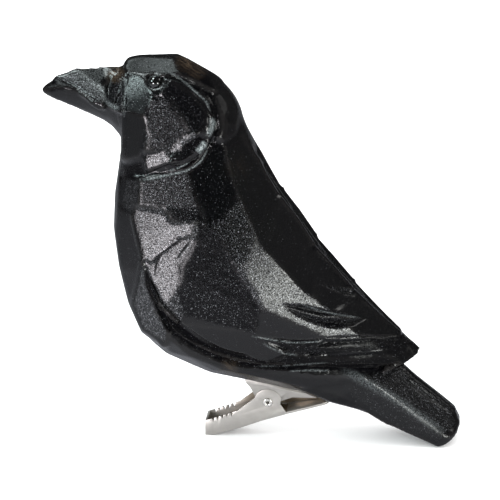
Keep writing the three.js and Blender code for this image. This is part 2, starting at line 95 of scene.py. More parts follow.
# The photo was taken a little above the bird, from its left side.
print("camera")
shot = {
    "azimuth": 5,
    "elevation": 16,
    "distance": 450 * mm,
    "target": (-0.85 * mm, 0, 43 * mm),
    "pictureSide": 500,      # pixels
    "pixelsPerMm": 4.5,      # at the target
    "sensor": 36,
    "seenFrom": 0.01,        # metres
    "seenTo": 10,
}


def makeCamera():
    data = bpy.data.cameras.new("photoCamera")
    data.sensor_width = shot["sensor"]
    focalPixels = shot["pixelsPerMm"] * shot["distance"] / mm
    data.lens = shot["sensor"] * focalPixels / shot["pictureSide"]
    data.clip_start = shot["seenFrom"]
    data.clip_end = shot["seenTo"]
    camera = newObject("photoCamera", data)
    back = Vector(outwardAt(shot["azimuth"], shot["elevation"]))
    lookAt(camera, Vector(shot["target"]), back, shot["distance"])
    bpy.context.scene.camera = camera
    bpy.context.view_layer.update()
    return camera, focalPixels


photoCamera, focalPixels = makeCamera()
cameraTurn = np.array(photoCamera.matrix_world.to_3x3())
cameraPlace = np.array(photoCamera.location)
halfPicture = shot["pictureSide"] / 2


# Where points fall in the photo, in pixels from its top left corner
def toPixels(points):
    seen = (points - cameraPlace) @ cameraTurn
    across = halfPicture + focalPixels * seen[:, 0] / -seen[:, 2]
    down = halfPicture - focalPixels * seen[:, 1] / -seen[:, 2]
    return np.stack([across, down], axis=1)


# Pixels as slopes from the camera, in which the inverse of depth is even across any plane
def toSlopes(pixels):
    pixels = np.atleast_2d(pixels)
    across = (pixels[:, 0] - halfPicture) / focalPixels
    up = (halfPicture - pixels[:, 1]) / focalPixels
    return np.stack([across, up, np.ones(len(pixels))], axis=1)


# The way from the camera through a pixel, in the camera's own axes
def sightLine(pixel):
    return np.append(toSlopes(pixel)[0][:2], -1)


# The whole carving is worked on as arrays of points on the left side; the right side mirrors it.
print("carving")
carving = {
    "voxel": 0.505 * mm,
    "trimReach": 5,               # pixels within which a deeper flat trims its neighbour
    "deepestTrim": 0.45 * mm,
    "deepestFlat": 2.2 * mm,
    "highestFlat": 1.2 * mm,
    "leastSlant": 0.35,           # keeps a cut short where the blank is steep to its flat
    "cutRounds": 2,
    "cutFacing": (0.06, 0.3),     # how far the blank faces the camera where cuts begin, and their fade
    "sampleStep": 4,              # pixels between the points that settle the flats' planes
    "sampleRings": (0.94, 0.55),  # those points lie on the outline, shrunk to these shares
    "sampleRounds": 3,
    "meetReach": 2.2,             # flats whose sides are this near, in pixels, meet without a step
    "meetWeight": 9,
    "farOff": 3 * mm,             # samples this far from the others lie on another surface
    "nearEnough": 0.4 * mm,
    "blankWeight": 3,
    "apart": [("neckNotch", "wristTop"), ("wristTop", "wristFront"), ("neckSide", "wristTop")],
    "endReach": 5,                # pixels over which a flat fades where none follows it
    "bridge": 6,                  # gaps between flats up to this many pixels belong to the nearer one
    # Parts that stay as round as the blank
    "uncut": ["napeBack", "spineEdge", "throat", "breastDark", "belly", "bellyBack", "undercutFront",
              "undercutBack", "featherUpper", "featherLower", "billLower", "billTip", "tipShade",
              "tailEdge"],
    "flatSoftening": (2, 0.3),    # rounds and share
    "strokeSoftening": (1, 0.2),
    "fineReach": 2.6,             # pixels round a stroke where the mesh is twice as fine
    "fineFlats": ["cheekKnifeA", "cheekKnifeB", "cheekUnder"],
    "narrowStroke": 1.5,          # strokes no wider than this, in pixels, are finer again, and dull
    "narrowReach": 1.4,
    # Each flat of the left side: its corners in the photo
    "flats": {
        # beak
        "billUpper": [(57, 79), (73, 72.5), (88, 77), (101, 85), (103, 104), (94, 99), (70, 83)],
        "billTop": [(73, 72.5), (84, 69), (104, 69), (108, 80), (101, 85), (88, 77)],
        "billLower": [(52, 86), (70, 84), (95, 100), (113, 108), (110, 121), (80, 109)],
        "billTip": [(42, 84), (56, 78), (70, 84), (72, 88), (60, 90), (44, 93)],
        "billRoot": [(109, 80), (124, 79), (124, 111), (108, 103)],
        # head
        "brow": [(128, 63), (140, 56), (172, 57), (180, 73), (163, 73), (146, 71), (130, 73)],
        "crown": [(172, 57), (190, 62), (206, 72), (214, 90), (196, 80), (180, 73)],
        "lore": [(126, 75), (137, 76), (147, 85), (150, 99), (148, 120), (142, 114), (126, 111)],
        "cheekFront": [(126, 112), (142, 114), (147, 121), (143, 140), (138, 156), (127, 158)],
        "cheek": [(151, 100), (163, 97), (176, 118), (186, 134), (170, 150), (155, 152), (143, 148),
            (147, 121)],
        "cheekBack": [(163, 96), (171, 84), (190, 96), (203, 115), (204, 126), (192, 132), (186, 134),
            (176, 118)],
        "cheekKnifeA": [(147, 158), (154, 153), (169, 152), (171, 160), (158, 165), (149, 168)],
        "cheekKnifeB": [(170, 151), (178, 142), (192, 132), (197, 136), (186, 145), (173, 154)],
        "cheekUnder": [(171, 161), (173, 154), (197, 136), (205, 141), (194, 152), (182, 160)],
        # neck and breast
        "throat": [(121, 128), (127, 140), (128, 160), (127, 180), (119, 178), (121, 150)],
        "neckFront": [(127, 180), (140, 182), (134, 213), (121, 205)],
        "neckSide": [(140, 182), (187, 172), (198, 211), (170, 207), (163, 211), (139, 208)],
        "neckNotch": [(163, 211), (170, 207), (198, 211), (199, 222), (171, 223)],
        "nape": [(187, 172), (200, 160), (214, 142), (226, 150), (232, 175), (241, 200), (213, 223),
            (199, 222), (198, 211)],
        "napeBack": [(214, 90), (221, 84), (236, 105), (242, 126), (240, 138), (227, 150), (219, 125)],
        "breastDark": [(121, 205), (134, 213), (142, 247), (143, 262), (140, 280), (134, 304), (126, 285),
            (119, 250)],
        "breastLight": [(143, 263), (145, 285), (154, 307), (165, 330), (165, 343), (144, 328),
            (134, 304), (140, 280)],
        # folded wing
        "wristTop": [(134, 213), (139, 208), (163, 211), (171, 223), (199, 222), (197, 237), (180, 239),
            (152, 262), (145, 261), (142, 247)],
        "wristFront": [(145, 261), (152, 262), (181, 239), (197, 237), (178, 265), (177, 292), (185, 315),
            (181, 321), (162, 305), (152, 284)],
        "side": [(199, 222), (213, 223), (225, 248), (243, 282), (261, 310), (257, 334), (241, 331),
            (215, 323), (185, 315), (177, 292), (178, 265), (197, 237)],
        "stripTop": [(213, 223), (241, 200), (261, 246), (233, 262)],
        "strip": [(233, 262), (261, 246), (289, 280), (331, 310), (359, 335), (324, 336), (290, 319),
            (261, 310), (243, 282)],
        "wingBorder": [(185, 315), (215, 323), (257, 334), (252, 337), (262, 343), (284, 354), (265, 361),
            (237, 354), (212, 346), (195, 336), (181, 321)],
        "wingMiddle": [(261, 310), (290, 319), (324, 336), (316, 341), (276, 339), (252, 336),
            (257, 333)],
        "featherUpper": [(276, 340), (316, 342), (364, 339), (394, 337), (395, 348), (364, 352),
            (316, 355), (284, 353)],
        "featherLower": [(284, 354), (316, 356), (364, 353), (395, 349), (397, 336), (421, 351),
            (403, 366), (391, 364), (332, 366), (289, 367), (265, 362)],
        # back
        "backHigh": [(227, 150), (240, 138), (258, 170), (276, 198), (261, 246), (241, 200), (232, 175)],
        "backMiddle": [(276, 198), (294, 222), (311, 248), (309, 294), (289, 280), (261, 246)],
        "backLow": [(311, 248), (332, 271), (351, 292), (331, 310), (309, 294)],
        "backTip": [(351, 292), (378, 318), (397, 334), (359, 335), (331, 310)],
        "spineEdge": [(242, 126), (264, 165), (300, 217), (318, 243), (311, 248), (294, 222), (276, 198),
            (258, 170), (240, 138)],
        # belly and tail
        "undercutFront": [(145, 269), (155, 285), (163, 308), (179, 322), (195, 336), (212, 346),
            (198, 351), (179, 340), (165, 330), (155, 307), (146, 287)],
        "undercutBack": [(212, 346), (233, 353), (261, 360), (290, 364), (289, 370), (261, 370),
            (240, 365), (219, 360), (198, 351)],
        "tipShade": [(289, 365), (340, 365), (391, 363), (404, 374), (398, 372), (360, 379), (338, 372),
            (289, 371)],
        "belly": [(165, 344), (165, 330), (198, 351), (219, 360), (265, 370), (262, 378), (215, 370),
            (186, 359)],
        "bellyBack": [(265, 370), (289, 371), (338, 371), (359, 378), (347, 393), (330, 401), (262, 380)],
        "tailSide": [(347, 393), (359, 379), (373, 388), (442, 438), (438, 442), (390, 422)],
        "tailEdge": [(359, 377), (373, 384), (444, 434), (442, 438), (373, 388), (359, 379)],
        "tailTop": [(359, 377), (398, 368), (404, 373), (449, 406), (456, 424), (444, 434), (373, 384)],
    },
    # Where a flat throws the view, as (bearing, height) in degrees, and how firmly it is held to
    # that against the blank's own slope
    "aims": {
        "billUpper": (-50, 52, 1), "lore": (-61, 22, 1), "cheekFront": (-62, -12, 1),
        "cheek": (-11, 6, 3), "cheekBack": (0, 16, 1), "cheekKnifeA": (-31, 2, 3),
        "cheekKnifeB": (-27, 0, 3), "cheekUnder": (6, 8, 2), "neckSide": (-12, 9, 2),
        "neckNotch": (0, 14, 2), "nape": (10, 17, 2), "brow": (-158, 52, 1), "billRoot": (-112, 14, 1),
        "wristTop": (-31, 3, 3), "wristFront": (-30, 0, 3), "side": (0, 4, 1), "stripTop": (27, 11, 2),
        "strip": (38, 5, 3), "wingMiddle": (16, -30, 1), "tailTop": (84, 38, 1),
    },
    # How smooth the lacquer lies on a flat, from 0 for grainy to 1 for polished
    "smoothFlats": {
        "wingBorder": 0.9, "wingMiddle": 0.6, "belly": 0.85, "bellyBack": 0.85, "backHigh": 0.7,
        "backMiddle": 0.8, "backLow": 0.75, "backTip": 0.6, "spineEdge": 0.8, "napeBack": 0.8,
        "cheekFront": 0.8, "neckFront": 0.4, "breastDark": 0.3, "throat": 0.3, "billLower": 0.7,
        "tailSide": 0.7, "tailTop": 0.5, "featherLower": 0.5, "featherUpper": 0.3, "breastLight": 0.4,
    },
    # How many pale dots lie on a flat: partly overspray, partly painted highlight, set heavier on the flats
    # that catch the light
    "speckAndSheenFlats": {
        "cheek": 0.78, "cheekBack": 0.4, "cheekUnder": 0.45, "neckSide": 0.86, "neckNotch": 0.68,
        "neckFront": 0.6, "nape": 0.3, "side": 0.55, "stripTop": 0.7, "brow": 0.6, "billUpper": 1,
        "billRoot": 0.6, "breastDark": 0.25, "breastLight": 1, "throat": 0.3, "undercutFront": 0.4,
        "undercutBack": 0.5, "featherUpper": 0.4, "featherLower": 0.3, "crown": 0.12, "backHigh": 0.12,
        "backMiddle": 0.08, "tailTop": 0.65, "tailSide": 0.45, "tailEdge": 0.7, "wingMiddle": 0.15,
        "wingBorder": 0.12, "wristTop": 1, "wristFront": 1, "strip": 1, "lore": 0.5, "cheekKnifeA": 1,
        "cheekKnifeB": 1, "belly": 0.12,
    },
    # How much duller than the rest a flat is
    "dullFlats": {
        "undercutFront": 1, "undercutBack": 1, "tipShade": 1, "tailEdge": 0.75, "neckNotch": 0.8,
        "nape": 0.9, "napeBack": 0.95, "cheekBack": 0.8, "cheekUnder": 0.8, "crown": 0.85,
        "wristTop": 0.1, "wristFront": 0.1, "belly": 0.1, "billLower": 0.2, "billTop": 0.45,
        "billRoot": 0.6, "billTip": 0.9, "stripTop": 0.65, "side": 0.6, "cheek": 0.45,
        "featherUpper": 0.8, "featherLower": 0.95, "neckSide": 0.3, "throat": 0.4, "neckFront": 0.4,
        "cheekFront": 0.3, "breastDark": 0.45, "brow": 0.25,
    },
    # Flats that dull from one point of the photo to another, and how much at the end
    "dullRamps": {
        "lore": ((130, 79), (136, 101), 0.98), "brow": ((170, 70), (138, 62), 0.75),
        "strip": ((272, 292), (240, 252), 0.8), "wristTop": ((162, 245), (142, 214), 0.6),
        "wristFront": ((168, 300), (185, 245), 0.35),
    },
    # Flats whose wood grain shows through the paint as fine lines
    "streakFlats": {"wristTop": 0.7, "wristFront": 1, "tailTop": 1, "cheekKnifeB": 1, "cheekKnifeA": 0.6,
                    "brow": 0.7, "strip": 0.2},
    # Rounded parts: outline in the photo, rounds of softening, and how far out
    "roundings": [
        ([(168, 48), (205, 50), (245, 88), (268, 150), (262, 172), (240, 140), (214, 92), (196, 76),
          (174, 62)], 36, 0.42 * mm),
        ([(352, 366), (380, 380), (452, 428), (444, 444), (376, 400), (346, 386)], 14, 0),
    ],
    "roundingShare": 0.5,
    "roundingRim": 6,             # pixels over which a rounded part fades in
    "rimRounds": 6,
}

# Knife and gouge strokes: points in the photo, width in pixels, depth in mm (a ridge has less than
# 0), lean, and the shares of the length over which the ends fade. Lean puts the bottom towards one
# edge, 1 being the edge below a line drawn to the right.
strokeColumns = ("line", "width", "depth", "lean", "fade")
strokes = [dict(zip(strokeColumns, row)) for row in [
    # cut round the cheek, from over the eye to the throat
    ([(164, 73), (178, 79), (189, 86), (201, 97), (211, 107), (216, 120), (215, 134), (208, 149),
      (199, 162), (186, 171), (170, 174), (154, 178), (136, 181)], 4.6, 0.5, -0.2, (0.12, 0.2)),
    ([(172, 84), (184, 89), (196, 98), (205, 109), (210, 120), (209, 132)], 2.4, 0.16, 0, (0.3, 0.3)),
    ([(139, 179), (158, 169), (171, 164.5), (184, 162), (196, 154), (206, 143)], 3.2, 0.3, 0.5, (0.2, 0.3)),
    # crease between the upper and lower bill, and the edge of the face
    ([(50, 79), (57, 79), (70, 83), (84, 92), (95, 99), (113, 107), (122, 112)], 3, 0.35, 0.4, (0.2, 0.1)),
    ([(122.5, 66), (123, 80), (123, 96), (122.5, 112), (121, 122)], 3, 0.25, -0.5, (0.1, 0.3)),
    ([(125.5, 70), (126, 84), (125.6, 104), (124, 118)], 1.8, -0.12, 0, (0.1, 0.3)),
    # hollow under the eye
    ([(144, 93), (152, 97), (161, 96), (167, 89)], 5, 0.12, 0, (0.3, 0.4)),
    # undercut along the wing's lower rim
    ([(145, 266), (149, 283), (157, 303), (169, 321), (182, 332), (199, 344), (218, 354), (239, 360),
      (262, 365)], 14, 1.8, -0.72, (0.3, 0.1)),
    ([(239, 360), (262, 365), (300, 367.5), (340, 367.5), (370, 366.5), (399, 365)], 7, 0.8, -0.7,
      (0.1, 0.4)),
    ([(288, 371.5), (309, 370.4), (338, 371), (359, 378), (373, 386)], 2, -0.16, 0, (0.2, 0.2)),
    # long feather cuts
    ([(250, 335.5), (267, 338.4), (284, 341.1), (297, 342), (316, 341.2), (332, 339.5), (348, 338),
      (364, 337), (404, 335)], 4.4, 0.65, -0.6, (0.25, 0.45)),
    ([(256, 338.5), (272.6, 348.3), (284, 352.3), (295, 354.7), (316, 354.4), (332, 353.2), (348, 351.8),
      (380, 350), (397, 349.4)], 3.4, 0.38, -0.6, (0.3, 0.5)),
    ([(276, 346), (296, 349), (318, 349), (340, 346)], 2, -0.1, 0, (0.4, 0.4)),
    # nicks on the wrist of the wing
    ([(151, 260.5), (159, 255.2), (170, 247.5), (182.5, 240)], 1.3, 0.25, 0, (0.3, 0.3)),
    ([(160.3, 256.8), (156.5, 263), (154.8, 274)], 1.4, 0.35, 0, (0.2, 0.5)),
    ([(176, 260), (184, 249), (191.5, 240)], 1.3, 0.3, 0, (0.4, 0.3)),
    # groove down the tail
    ([(404, 377), (420, 389), (436, 401), (450, 412)], 7, 0.35, 0, (0.2, 0.4)),
]]
narrowStrokes = [stroke for stroke in strokes if stroke["width"] <= carving["narrowStroke"]]
strokeForm = {
    "margin": 12,         # pixels round a line that are looked at
    "swell": 0.6,         # how bluntly the ends open
    "leastSwell": 0.05,
    "facing": 0.25,       # strokes fade on what faces the camera less than this
}

# Scooped hollows: an outline in the photo, depth in mm, and how many pixels the wall takes
hollows = [dict(zip(("outline", "depth", "wall"), row)) for row in [
    ([(279, 303.5), (303, 304.5), (322, 308.5), (341, 311.6), (361, 317), (347, 317.5), (335, 316.5),
      (322, 316.5), (303, 312), (290, 308)], 1.5, 9),
    ([(283, 306), (303, 313), (322, 317.5), (335, 317.5), (347, 318), (367, 318), (353, 326), (340, 328.5),
      (326, 327.5), (309, 322), (295, 315)], 1.8, 9),
    ([(317, 283), (334, 286), (352, 288.5), (356, 296.5), (344, 294.5), (331, 289.8)], 0.8, 6.0),
]]


# How far each pixel lies inside a polygon, or outside it as a negative number
def insideBy(pixels, corners):
    corners = np.array(corners, float)
    nearest = np.full(len(pixels), np.inf)
    inside = np.zeros(len(pixels), bool)
    for start, end in zip(corners, np.roll(corners, -1, axis=0)):
        side = end - start
        share = np.clip(((pixels - start) @ side) / (side @ side), 0, 1)
        gap = pixels - (start + share[:, None] * side)
        nearest = np.minimum(nearest, np.hypot(gap[:, 0], gap[:, 1]))
        crosses = (start[1] > pixels[:, 1]) != (end[1] > pixels[:, 1])
        if side[1] != 0:
            reach = start[0] + (pixels[:, 1] - start[1]) * side[0] / side[1]
            inside ^= crosses & (pixels[:, 0] < reach)
    return np.where(inside, nearest, -nearest)


# A smooth line through the points of a stroke, in short steps
def smoothLine(points, perSide=6):
    points = np.array(points, float)
    padded = np.vstack([2 * points[0] - points[1], points, 2 * points[-1] - points[-2]])
    line = []
    for i in range(1, len(padded) - 2):
        before, a, b, after = padded[i - 1:i + 3]
        for share in np.arange(perSide) / perSide:
            bend = a * 2 + (b - before) * share
            bend = bend + (2 * before - 5 * a + 4 * b - after) * share ** 2
            bend = bend + (3 * a - before - 3 * b + after) * share ** 3
            line.append(bend / 2)
    line.append(points[-1])
    return np.array(line)


# Where pixels lie against a line: how far across it (downwards when it runs right) and along it
def placeOnLine(pixels, line):
    lengths = np.hypot(*(line[1:] - line[:-1]).T)
    across = np.full(len(pixels), np.inf)
    along = np.zeros(len(pixels))
    passed = 0
    for start, end, length in zip(line[:-1], line[1:], lengths):
        run = (end - start) / length
        share = np.clip((pixels - start) @ run, 0, length)
        gap = pixels - (start + share[:, None] * run)
        distance = np.hypot(gap[:, 0], gap[:, 1])
        side = np.where(run[0] * gap[:, 1] - run[1] * gap[:, 0] >= 0, 1, -1)
        nearer = distance < np.abs(across)
        across = np.where(nearer, distance * side, across)
        along = np.where(nearer, (passed + share) / lengths.sum(), along)
        passed += length
    return across, along


# The pixels near a smooth line, and their place on it
def nearLine(pixels, points, margin):
    line = smoothLine(points)
    near = ((pixels > line.min(axis=0) - margin) & (pixels < line.max(axis=0) + margin)).all(axis=1)
    return near, *placeOnLine(pixels[near], line)


# How deep a stroke has cut at each pixel
def strokeDepth(pixels, stroke):
    near, across, along = nearLine(pixels, stroke["line"], strokeForm["margin"])
    fadeIn, fadeOut = stroke["fade"]
    swell = np.minimum(np.clip(along / fadeIn, 0, 1), np.clip((1 - along) / fadeOut, 0, 1))
    swell = swell ** strokeForm["swell"]
    spread = across / (np.maximum(swell, strokeForm["leastSwell"]) * stroke["width"] / 2)
    upper = (spread + 1) / (stroke["lean"] + 1)
    lower = (1 - spread) / (1 - stroke["lean"])
    depth = np.zeros(len(pixels))
    depth[near] = np.clip(np.minimum(upper, lower), 0, 1) * swell * stroke["depth"] * mm
    return depth


def hollowDepth(pixels, hollow):
    inside = np.maximum(insideBy(pixels, hollow["outline"]), 0)
    return (1 - np.exp(-inside / hollow["wall"])) * hollow["depth"] * mm


def depthAt(tree, pixel):
    hit = tree.ray_cast(Vector(cameraPlace), Vector(cameraTurn @ sightLine(pixel)).normalized())[0]
    if hit is None:
        return math.nan
    return -((np.array(hit) - cameraPlace) @ cameraTurn)[2]


def sideSamples(corners):
    corners = np.array(corners, float)
    samples = []
    for start, end in zip(corners, np.roll(corners, -1, axis=0)):
        steps = max(2, int(np.hypot(*(end - start)) / carving["sampleStep"]))
        samples += [start + (end - start) * i / steps for i in range(steps)]
    return np.array(samples)


# Where the blank lies behind a flat, leaving out what belongs to another surface
def blankSamples(tree, sides):
    middle = sides.mean(axis=0)
    inner = np.vstack([middle + (sides - middle) * share for share in carving["sampleRings"]])
    depths = np.array([depthAt(tree, pixel) for pixel in inner])
    met = ~np.isnan(depths)
    slopes = toSlopes(inner[met])
    depths = depths[met]
    kept = np.abs(depths - np.median(depths)) < carving["farOff"]
    for _ in range(carving["sampleRounds"]):
        plane = np.linalg.lstsq(slopes[kept], 1 / depths[kept], rcond=None)[0]
        off = np.abs(1 / (slopes @ plane) - depths)
        kept = off < max(carving["nearEnough"], np.median(off))
    return slopes[kept], depths[kept]


def keptApart(first, second):
    return (first, second) in carving["apart"] or (second, first) in carving["apart"]


# The planes of all knife flats at once. They stay near the blank, meet their neighbours without
# a step, and lean as they are aimed. Each is held as inverse depth = plane . (across, up, 1).
def settleFlats(tree):
    names = [name for name in carving["flats"] if name not in carving["uncut"]]
    rows = []
    targets = []
    sides = {name: sideSamples(carving["flats"][name]) for name in names}

    def addRow(parts, target, weight):
        row = np.zeros(3 * len(names))
        for index, values in parts:
            row[3 * index:3 * index + 3] += np.array(values) * weight
        rows.append(row)
        targets.append(target * weight)

    for index, name in enumerate(names):
        for slopes, depth in zip(*blankSamples(tree, sides[name])):
            addRow([(index, slopes)], 1 / depth, carving["blankWeight"])
        for other in range(index + 1, len(names)):
            if keptApart(name, names[other]):
                continue
            near = insideBy(sides[name], carving["flats"][names[other]])
            for pixel in sides[name][np.abs(near) < carving["meetReach"]]:
                slopes = toSlopes(pixel)[0]
                addRow([(index, slopes), (other, -slopes)], 0, carving["meetWeight"])
        if name in carving["aims"]:
            bearing, height, weight = carving["aims"][name]
            toCamera = cameraTurn @ -sightLine(sides[name].mean(axis=0))
            aim = (outwardAt(bearing, height) + toCamera / np.linalg.norm(toCamera)) @ cameraTurn
            aim /= aim[2]
            spread = np.ptp(toSlopes(sides[name])[:, :2]) * weight * len(sides[name]) ** 0.5
            addRow([(index, (1, 0, aim[0]))], 0, spread)
            addRow([(index, (0, 1, aim[1]))], 0, spread)
    planes = np.linalg.lstsq(np.array(rows), np.array(targets), rcond=None)[0].reshape(-1, 3)
    return dict(zip(names, planes))


# A plane as a point on it and the direction it faces
def planeInSpace(plane, corners):
    middle = np.array(corners, float).mean(axis=0)
    depth = 1 / (plane @ toSlopes(middle)[0])
    centre = cameraPlace + cameraTurn @ (sightLine(middle) * depth)
    normal = cameraTurn @ np.array([-plane[0], -plane[1], plane[2]])
    return centre, normal / np.linalg.norm(normal)


def meshOf(obj):
    return bpy.data.meshes.new_from_object(obj.evaluated_get(bpy.context.evaluated_depsgraph_get()))


def newPiece(name, mesh):
    mesh.name = name
    return newObject(name, mesh)


def startShape(mesh):
    shape = bmesh.new()
    shape.from_mesh(mesh)
    return shape


def endShape(shape, mesh):
    shape.to_mesh(mesh)
    shape.free()


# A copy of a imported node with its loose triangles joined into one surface
def mergedCopy(node, name, weldReach=0.002 * mm):
    shape = startShape(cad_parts[node].data)
    bmesh.ops.remove_doubles(shape, verts=shape.verts, dist=weldReach)
    mesh = bpy.data.meshes.new(name)
    endShape(shape, mesh)
    return newPiece(name, mesh)


def readArray(items, name, kind=float, width=3):
    values = np.zeros(len(items) * width, kind)
    items.foreach_get(name, values)
    return values.reshape(-1, width)


def pointsOf(mesh):
    return readArray(mesh.vertices, "co")


def normalsOf(mesh):
    return readArray(mesh.vertices, "normal")


def edgesOf(mesh):
    return readArray(mesh.edges, "vertices", int, 2)


def setPoints(mesh, points):
    mesh.vertices.foreach_set("co", points.astype(np.float32).ravel())
    mesh.update()


def middleOfNeighbours(edges, points):
    first, second = edges.T
    count = np.bincount(edges.ravel(), minlength=len(points))[:, None]
    total = np.zeros_like(points)
    for axis in range(points.shape[1]):
        total[:, axis] = np.bincount(first, points[second, axis], len(points))
        total[:, axis] += np.bincount(second, points[first, axis], len(points))
    return total / count


def smoothPoints(edges, points, rounds, share):
    for _ in range(rounds):
        points = points + share * (middleOfNeighbours(edges, points) - points)
    return points


# Sides are folded together: everything is worked out on the left side, which the photo shows.
def foldLeft(points):
    left = points.copy()
    left[:, 1] = -np.abs(left[:, 1])
    return left


# Where points fall in the photo and how far they face its camera, then their place and facing
# when folded to the left
def seenShare(points, normals):
    left = foldLeft(points)
    leftNormals = normals.copy()
    leftNormals[points[:, 1] > 0, 1] *= -1
    toCamera = cameraPlace - left
    toCamera /= np.linalg.norm(toCamera, axis=1)[:, None]
    return toPixels(left), (leftNormals * toCamera).sum(axis=1), left, leftNormals


def cutFlats(mesh, tree):
    start = pointsOf(mesh)
    normals = normalsOf(mesh)
    planes = settleFlats(tree)
    leastFacing, facingFade = carving["cutFacing"]
    points = start
    for _ in range(carving["cutRounds"]):
        pixels, facing, left, leftNormals = seenShare(points, normals)
        insides = []
        moves = []
        for name, plane in planes.items():
            centre, normal = planeInSpace(plane, carving["flats"][name])
            insides.append(insideBy(pixels, carving["flats"][name]))
            moves.append((centre - left) @ normal / np.maximum(leftNormals @ normal, carving["leastSlant"]))
        own = np.argmax(insides, axis=0)
        nextInside, ownInside = np.sort(insides, axis=0)[-2:]
        ownMove = np.array(moves)[own, np.arange(len(own))]
        bridged = np.clip((carving["bridge"] + ownInside + nextInside) / 2, 0, 1)
        ownMove *= np.maximum(np.clip(1 + ownInside / carving["endReach"], 0, 1), bridged)
        trimmed = ownMove
        for name, inside, move in zip(planes, insides, moves):
            allowed = carving["deepestTrim"] * np.clip(1 + inside / carving["trimReach"], 0, 1)
            spared = [index for index, other in enumerate(planes) if keptApart(name, other)]
            near = (allowed > 0) & (ownInside > 0) & ~np.isin(own, spared)
            trimmed = np.where(near, np.minimum(trimmed, np.maximum(move, ownMove - allowed)), trimmed)
        trimmed = trimmed * np.clip((facing - leastFacing) / facingFade, 0, 1)
        sunk = ((points - start) * normals).sum(axis=1) + trimmed
        sunk = np.clip(sunk, -carving["deepestFlat"], carving["highestFlat"])
        points = start + normals * sunk[:, None]
    return points


def roundParts(mesh, points):
    setPoints(mesh, points)
    normals = normalsOf(mesh)
    pixels = seenShare(points, normals)[0]
    edges = edgesOf(mesh)
    for corners, rounds, swell in carving["roundings"]:
        share = np.clip(insideBy(pixels, corners) / carving["roundingRim"], 0, 1)[:, None]
        soft = smoothPoints(edges, points, rounds, carving["roundingShare"])
        share = smoothPoints(edges, share, carving["rimRounds"], carving["roundingShare"])
        points = points + share * (soft - points + swell * normals)
    return points


def cutStrokes(mesh, points):
    setPoints(mesh, points)
    normals = normalsOf(mesh)
    pixels, facing = seenShare(points, normals)[:2]
    depth = np.zeros(len(points))
    for hollow in hollows:
        depth = np.maximum(depth, hollowDepth(pixels, hollow))
    for stroke in strokes:
        cut = strokeDepth(pixels, stroke)
        depth = depth + cut if stroke["depth"] < 0 else np.maximum(depth, cut)
    depth *= np.clip(facing / strokeForm["facing"], 0, 1)
    return points - normals * depth[:, None]


# The mesh is made twice as fine round some strokes and outlines.
def refineRound(mesh, someStrokes, outlines, reach):
    pixels, facing = seenShare(pointsOf(mesh), normalsOf(mesh))[:2]
    fine = np.zeros(len(pixels), bool)
    for stroke in someStrokes:
        across = placeOnLine(pixels, smoothLine(stroke["line"]))[0]
        fine |= np.abs(across) < stroke["width"] / 2 + reach
    for outline in outlines:
        fine |= insideBy(pixels, outline) > -reach
    fine &= facing > 0
    shape = startShape(mesh)
    chosen = [edge for edge in shape.edges if all(fine[vert.index] for vert in edge.verts)]
    bmesh.ops.subdivide_edges(shape, edges=chosen, cuts=1, use_grid_fill=True)
    bmesh.ops.triangulate(shape, faces=[face for face in shape.faces if len(face.verts) > 4])
    endShape(shape, mesh)


# The wood is filled up to the eye bead, which sits in a shallow round bed.
eye = {
    "radius": 1.5 * mm,
    "shift": (0.08 * mm, 0, -0.42 * mm),
    "sunk": 0.35 * mm,
    "ringReach": 1.35,            # radii from the middle where the wood's slope is felt for
    "ringPoints": 16,
    "bedReach": 1.78 * mm,
    "bedHeight": 2.2 * mm,        # wood further up or down isn't moved
    "bedFade": 0.25 * mm,
    "bedFloor": 0.9,              # the bed's sunk part ends at this share of the radius
    "bedDepth": 0.12 * mm,
    "rimTube": 0.09 * mm,
    "rimGap": 0.6,                # how many of its own radii the rim lies outside the bead
    "rimRise": -0.03 * mm,
    "rimSteps": 12,
    "segments": 48,
}


def eyeFrame(tree):
    low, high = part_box("left_eye")
    centre = (np.array(low) + np.array(high)) / 2 + np.array(eye["shift"])
    reach = eye["ringReach"] * eye["radius"]
    hits = []
    for x, z in arcPoints((0, 0), (reach, reach), 0, 360, eye["ringPoints"])[:-1]:
        start = Vector(centre + np.array([x, cadLow[1], z]))
        hits.append(tree.ray_cast(start, Vector((0, 1, 0)))[0])
    hits = np.array(hits)
    outward = np.linalg.svd(hits - hits.mean(axis=0))[2][2]
    if outward[1] > 0:
        outward = -outward
    return centre, outward, hits.mean(axis=0)


def fillEyeBeds(points, outward, surface):
    left = foldLeft(points)
    gap = left - surface
    height = gap @ outward
    distance = np.linalg.norm(gap - height[:, None] * outward, axis=1)
    near = (distance < eye["bedReach"]) & (np.abs(height) < eye["bedHeight"])
    share = np.clip((eye["bedReach"] - distance) / eye["bedFade"], 0, 1)
    bed = np.where(distance < eye["radius"] * eye["bedFloor"], -eye["bedDepth"], 0)
    left[near] += outward * ((bed - height) * share)[near, None]
    left[:, 1] *= np.where(points[:, 1] > 0, -1, 1)
    return left


def markPoints(mesh, name, values):
    attribute = mesh.attributes.new(name, "FLOAT", "POINT")
    attribute.data.foreach_set("value", values.astype(np.float32))


